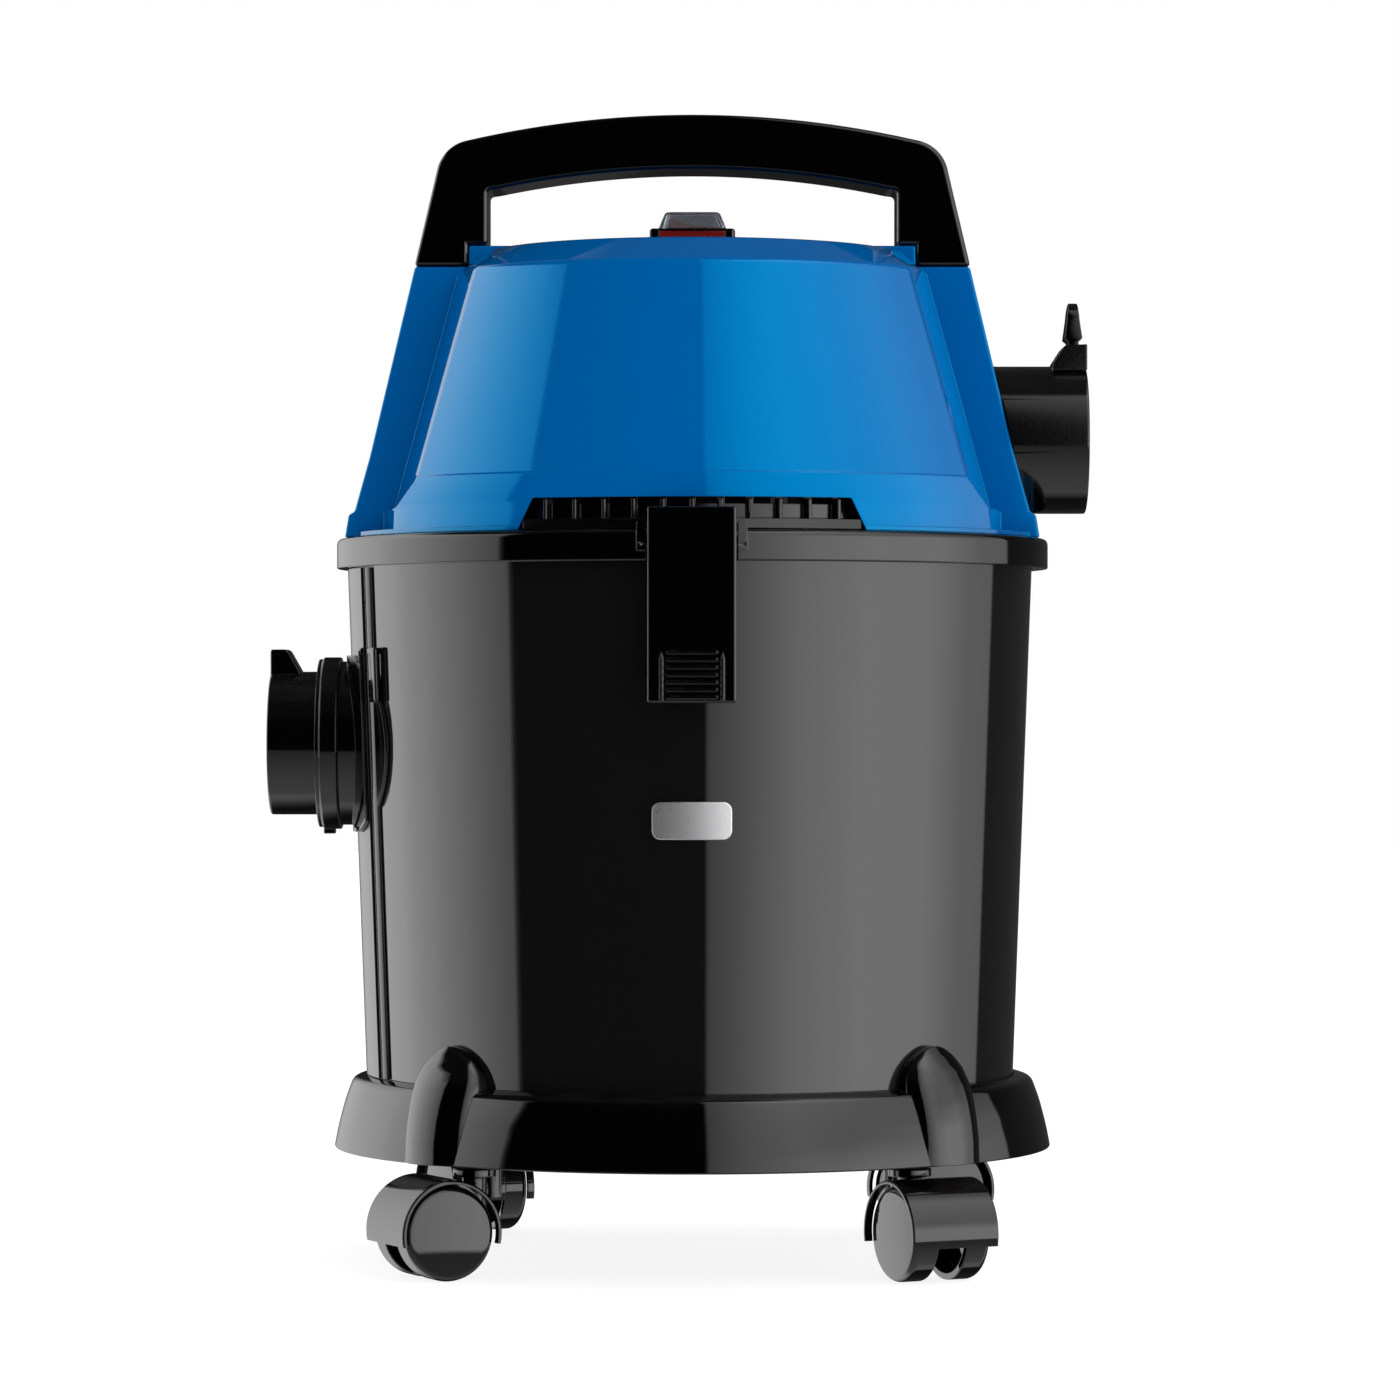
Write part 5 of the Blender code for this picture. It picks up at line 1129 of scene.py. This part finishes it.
# ---- latches ----
def make_latches():
    for side, sign in SIDES:
        turn = Matrix.Rotation(0 if sign < 0 else math.pi, 4, "Z")
        face, back = -LATCH_FACE_Y, -LATCH_FACE_Y + LATCH_THICK
        latch = bevel(box("latch_plate_" + side, (-LATCH_HALF, face, LATCH_LOW_Z),
                          (LATCH_HALF, back, LATCH_TOP_Z)), 0.0010, 4)
        nose = box("nose", (-0.0150, back - 0.001, LATCH_TOP_Z - 0.0046),
                   (0.0150, -0.1462, LATCH_TOP_Z - 0.0006))
        combine(latch, bevel(nose, 0.0005, 2), "UNION")
        combine(latch, rod("hub", (-LATCH_HALF + 0.0004, -LATCH_PIVOT_Y, LATCH_PIVOT_Z),
                           (LATCH_HALF - 0.0004, -LATCH_PIVOT_Y, LATCH_PIVOT_Z), 0.0029, 32), "UNION")
        combine(latch, box("web", (-LATCH_HALF + 0.0004, back - 0.001, LATCH_PIVOT_Z - 0.0024),
                           (LATCH_HALF - 0.0004, -LATCH_PIVOT_Y - 0.0005, LATCH_PIVOT_Z + 0.0024)), "UNION")
        combine(latch, rod("bore", (-0.0200, -LATCH_PIVOT_Y, LATCH_PIVOT_Z),
                           (0.0200, -LATCH_PIVOT_Y, LATCH_PIVOT_Z), PIN_BORE_R, 24))
        # round-ended grip ribs, and a ridge on each side of them that tapers to a point at its top
        end = RIB_HALF - RIB_ROUND
        bar = arc((end, 0), RIB_ROUND, -90, 90, 6) + arc((-end, 0), RIB_ROUND, 90, 270, 6)
        rib = bevel(outline("rib", bar, RIB_DEPTH, rotation=UPRIGHT), 0.0002, 2, 60)
        grow(rib, BAR_ROW, Count=RIB_COUNT, Step_Z=RIB_PITCH)
        rib.data.transform(Matrix.Translation((0, face + 0.00015, RIB_LOW_Z)))
        combine(latch, rib, "UNION")
        for hand in (-1, 1):
            ridge = [(hand * 0.0128, 0.2336), (hand * 0.0128, 0.2500), (hand * 0.0121, 0.2528),
                     (hand * 0.0114, 0.2500), (hand * 0.0114, 0.2336)]
            strip = outline("ridge", ridge, RIB_DEPTH, location=(0, face + 0.00015, 0), rotation=UPRIGHT)
            combine(latch, bevel(strip, 0.0003, 2, 60), "UNION")
        latch.data.transform(turn)
        hand_over(latch, GLOSS_BLACK, side + "_latch", ["latch_" + side])


# ---- blower port ----
def make_blower():
    start = 0.1090
    length = BLOWER_MOUTH - start
    profile = eased([(BLOWER_R, length, 0.0010), (BLOWER_R, 0.0, 0.0004), (BLOWER_R - TUBE_WALL, 0.0, 0.0004),
                     (BLOWER_R - TUBE_WALL, length, 0.0010)], 0.0006, 4)
    tube = turned("blower_port", profile, TUBE_FACETS, location=(start, 0, BLOWER_Z),
                  rotation=(0, math.radians(90), 0))
    boss = eased([(0.1515, 0.3725, 0.0), (BLOWER_MOUTH, 0.3725, 0.0), (BLOWER_MOUTH, 0.3834, 0.0006),
                  (0.1563, 0.3830, 0.0012), (0.1515, 0.3755, 0.0012)], 0.001, 4)
    combine(tube, bevel(outline("blower_boss", boss, 0.0300, rotation=UPRIGHT), 0.0007, 3, 60), "UNION")
    # the tube is thinned where it passes between the pilaster's side walls
    skin = pilaster("pilaster_skin", 1, -0.0050, reach=GAP - 0.0050)
    combine(skin, pilaster("skin_room", 1, 0.0009, reach=0.030))
    combine(tube, skin)
    combine(tube, box("slot", (0.1560, -0.0102, 0.3762), (0.1648, 0.0102, 0.3900)))
    combine(tube, rod("pin_hole", (CATCH_X, -0.0140, CATCH_Z), (CATCH_X, 0.0140, CATCH_Z), CATCH_BORE_R, 24))
    hand_over(tube, PORT_BLACK, "head", ["blower_tube"])

    # straight in its slot, flared above the boss and narrower towards its round top
    crest_z, crest_r, crest_thick = 0.3940, 0.0075, 0.0027
    levels = [(0.3768, 0.0021, 0.0098), (0.3848, 0.0021, 0.0098), (0.3862, 0.0037, 0.0098),
              (0.3900, 0.0032, 0.0088), (crest_z, crest_thick, crest_r)]
    levels += [(crest_z + crest_r * math.sin(math.radians(a)), crest_thick - 0.0010 * a / 90,
                crest_r * math.cos(math.radians(a))) for a in range(10, 81, 10)]
    loops = [[(CATCH_X - thick, -wide, z), (CATCH_X + thick, -wide, z), (CATCH_X + thick, wide, z),
              (CATCH_X - thick, wide, z)] for z, thick, wide in levels]
    finger = bevel(loft("finger_catch", loops), 0.0009, 3, 50)
    combine(finger, rod("bore", (CATCH_X, -0.0200, CATCH_Z), (CATCH_X, 0.0200, CATCH_Z), CATCH_BORE_R, 24))
    hand_over(finger, GLOSS_BLACK, "blower_catch", ["blower_latch"])


# ---- under the head ----
def make_filter():
    """A pleated felt sleeve between a cap below and a collar above."""
    sleeve = turned("filter_sleeve", [(0.0, 0.2230), (0.0565, 0.2230), (0.0604, 0.2840), (0.0636, 0.2840),
                                      (0.0598, 0.2200), (0.0, 0.2200)], SLEEVE_FACETS, closed=False)
    grow(sleeve, PLEATED, Pleats=PLEAT_COUNT, Depth=PLEAT_DEPTH)
    low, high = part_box("filter")
    collar = turned("collar", eased([(0.0640, high.z), (0.0638, high.z - 0.0022), (0.0606, high.z - 0.0022),
                                     (0.0606, high.z)], 0.0005, 3), 96)
    combine(sleeve, collar, "UNION")
    hand_over(sleeve, FILTER_FELT, "head", ["filter"])


def make_float():
    """The float ball."""
    low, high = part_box("float_ball")
    radius, middle = (high.z - low.z) / 2, (high.z + low.z) / 2
    profile = [(0.0, -radius)] + arc((0, 0), radius, -84, 84, 28) + [(0.0, radius)]
    ball = turned("float_bob", profile, 48, closed=False, location=(0, 0, middle))
    hand_over(ball, FLOAT_PLASTIC, "float", ["float_ball"])


make_drum()
make_badge()
make_inlet()
make_base()
for castor in CASTORS:
    make_castor(*castor)
make_lid()
make_vent_grilles()
make_handle()
make_switch()
make_latches()
make_blower()
make_filter()
make_float()
bpy.data.collections.remove(BENCH)

# ---- CAD nodes that stay, each with a finish of its own ----
KEPT = ((MATTE_BLACK, ("inlet_deflector", "lid_pan", "cord_gland", "float_cage")),
        (SEAL_RUBBER, ("inlet_gasket", "lid_seal", "motor_mount")),
        (FAN_ALUMINIUM, ("fan_impeller", "fan_cover")),
        (BRIGHT_STEEL, ("motor_shaft",)),
        (DARK_STEEL, ("motor_can", "latch_pin_front", "latch_pin_rear", "blower_latch_pin")
         + tuple("castor_stem_" + name for name, _, _ in CASTORS)
         + tuple("castor_axle_" + name for name, _, _ in CASTORS)))
for finish, names in KEPT:
    for node in names:
        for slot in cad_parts[node].material_slots:
            slot.material = finish


# ---- floor and light ----
def make_floor():
    builder = bmesh.new()
    bmesh.ops.create_grid(builder, x_segments=1, y_segments=1, size=6.0)
    mesh = bpy.data.meshes.new("studio_floor")
    builder.to_mesh(mesh)
    builder.free()
    floor = bpy.data.objects.new("studio_floor", mesh)
    bpy.context.scene.collection.objects.link(floor)
    material, tree, shader = new_material("studio_paper")
    shader.inputs["Base Color"].default_value = (0.22, 0.22, 0.22, 1.0)
    shader.inputs["Roughness"].default_value = 0.9
    shader.inputs["Emission Color"].default_value = (1.0, 1.0, 1.0, 1.0)
    shader.inputs["Emission Strength"].default_value = 0.86
    mesh.materials.append(material)
    floor.visible_glossy = False


def ramp(tree, value, stops):
    node = tree.nodes.new("ShaderNodeValToRGB")
    link(tree, value, node.inputs["Fac"])
    while len(node.color_ramp.elements) < len(stops):
        node.color_ramp.elements.new(0.5)
    for element, (place, level) in zip(node.color_ramp.elements, stops):
        element.position = place
        element.color = (level, level, level, 1.0)
    return node.outputs["Color"]


# brightness round the horizon, by degrees from straight before the object towards its right
AROUND = ((-180, 0.02), (-173, 0.02), (-164, 0.75), (-142, 1.6), (-121, 2.7), (-103, 2.9), (-87, 2.5),
          (-63.6, 1.3), (-63.2, 0.0), (5.2, 0.0), (5.6, 0.95), (18, 1.7), (37, 3.0), (60, 3.6), (86, 3.0),
          (106, 1.44), (121, 0.9), (121.6, 0.05), (180, 0.05))
FULL = 4.0                  # the brightness that a level of 1 stands for


def make_light():
    """Soft studio light: a tall bright panel on each side with a dark gap before the object."""
    world = bpy.data.worlds.new("studio")
    bpy.context.scene.world = world
    world.use_nodes = True
    world.cycles.sampling_method = "NONE"
    tree = world.node_tree
    tree.nodes.clear()
    way = tree.nodes.new("ShaderNodeTexCoord").outputs["Generated"]
    split = tree.nodes.new("ShaderNodeSeparateXYZ")
    link(tree, way, split.inputs["Vector"])
    x, y, z = split.outputs
    turn = math_node(tree, "ARCTAN2", x, math_node(tree, "MULTIPLY", y, -1.0))
    fraction = math_node(tree, "ADD", math_node(tree, "DIVIDE", turn, math.tau), 0.5)
    panels = ramp(tree, fraction, [((degrees + 180) / 360, level / FULL) for degrees, level in AROUND])

    def both(first, second):
        return math_node(tree, "MULTIPLY", first, second)

    # the left panel ends lower than the right one, whose upper half is dimmer
    above_left = both(span(tree, x, 0.02, 0.0), span(tree, z, 0.58, 0.68))
    panels = mix_colour(tree, above_left, panels, (0.01, 0.01, 0.01))
    high_right = both(span(tree, x, 0.25, 0.75, 0.0, 0.45), span(tree, z, 0.15, 0.35))
    panels = mix_colour(tree, high_right, panels, (0.0, 0.0, 0.0))
    # low before the object, the floor glows a little
    floor_glow = mix_colour(tree, span(tree, z, -0.2, -0.9), (0.09, 0.09, 0.09), (0.22, 0.22, 0.22))
    low_front = both(span(tree, z, -0.185, -0.205), span(tree, y, 0.3, 0.0))
    panels = mix_colour(tree, low_front, panels, floor_glow)
    overhead = ramp(tree, math_node(tree, "ADD", math_node(tree, "MULTIPLY", x, 0.5), 0.5),
                    ((0.0, 0.02), (0.62, 0.02), (1.0, 0.10)))
    panels = mix_colour(tree, span(tree, z, 0.93, 0.96), panels, overhead)

    def background(colour, strength):
        node = tree.nodes.new("ShaderNodeBackground")
        for socket, value in zip(node.inputs, (colour, strength)):
            if isinstance(value, (tuple, float)):
                socket.default_value = value
            else:
                link(tree, value, socket)
        return node.outputs["Background"]

    def choose(factor, first, second):
        node = tree.nodes.new("ShaderNodeMixShader")
        link(tree, factor, node.inputs["Fac"])
        link(tree, first, node.inputs[1])
        link(tree, second, node.inputs[2])
        return node.outputs["Shader"]

    # reflections see the panels and the camera sees white
    # matt surfaces get soft light, stronger from the right
    white = (1.0, 1.0, 1.0, 1.0)
    rays = tree.nodes.new("ShaderNodeLightPath").outputs
    soft = background(white, span(tree, x, -0.6, 1.0, 0.58, 2.0))
    lit = choose(rays["Is Glossy Ray"], soft, background(panels, FULL))
    output = tree.nodes.new("ShaderNodeOutputWorld")
    link(tree, choose(rays["Is Camera Ray"], lit, background(white, 1.0)), output.inputs["Surface"])


make_floor()
make_light()
bpy.context.scene.view_settings.view_transform = "Standard"
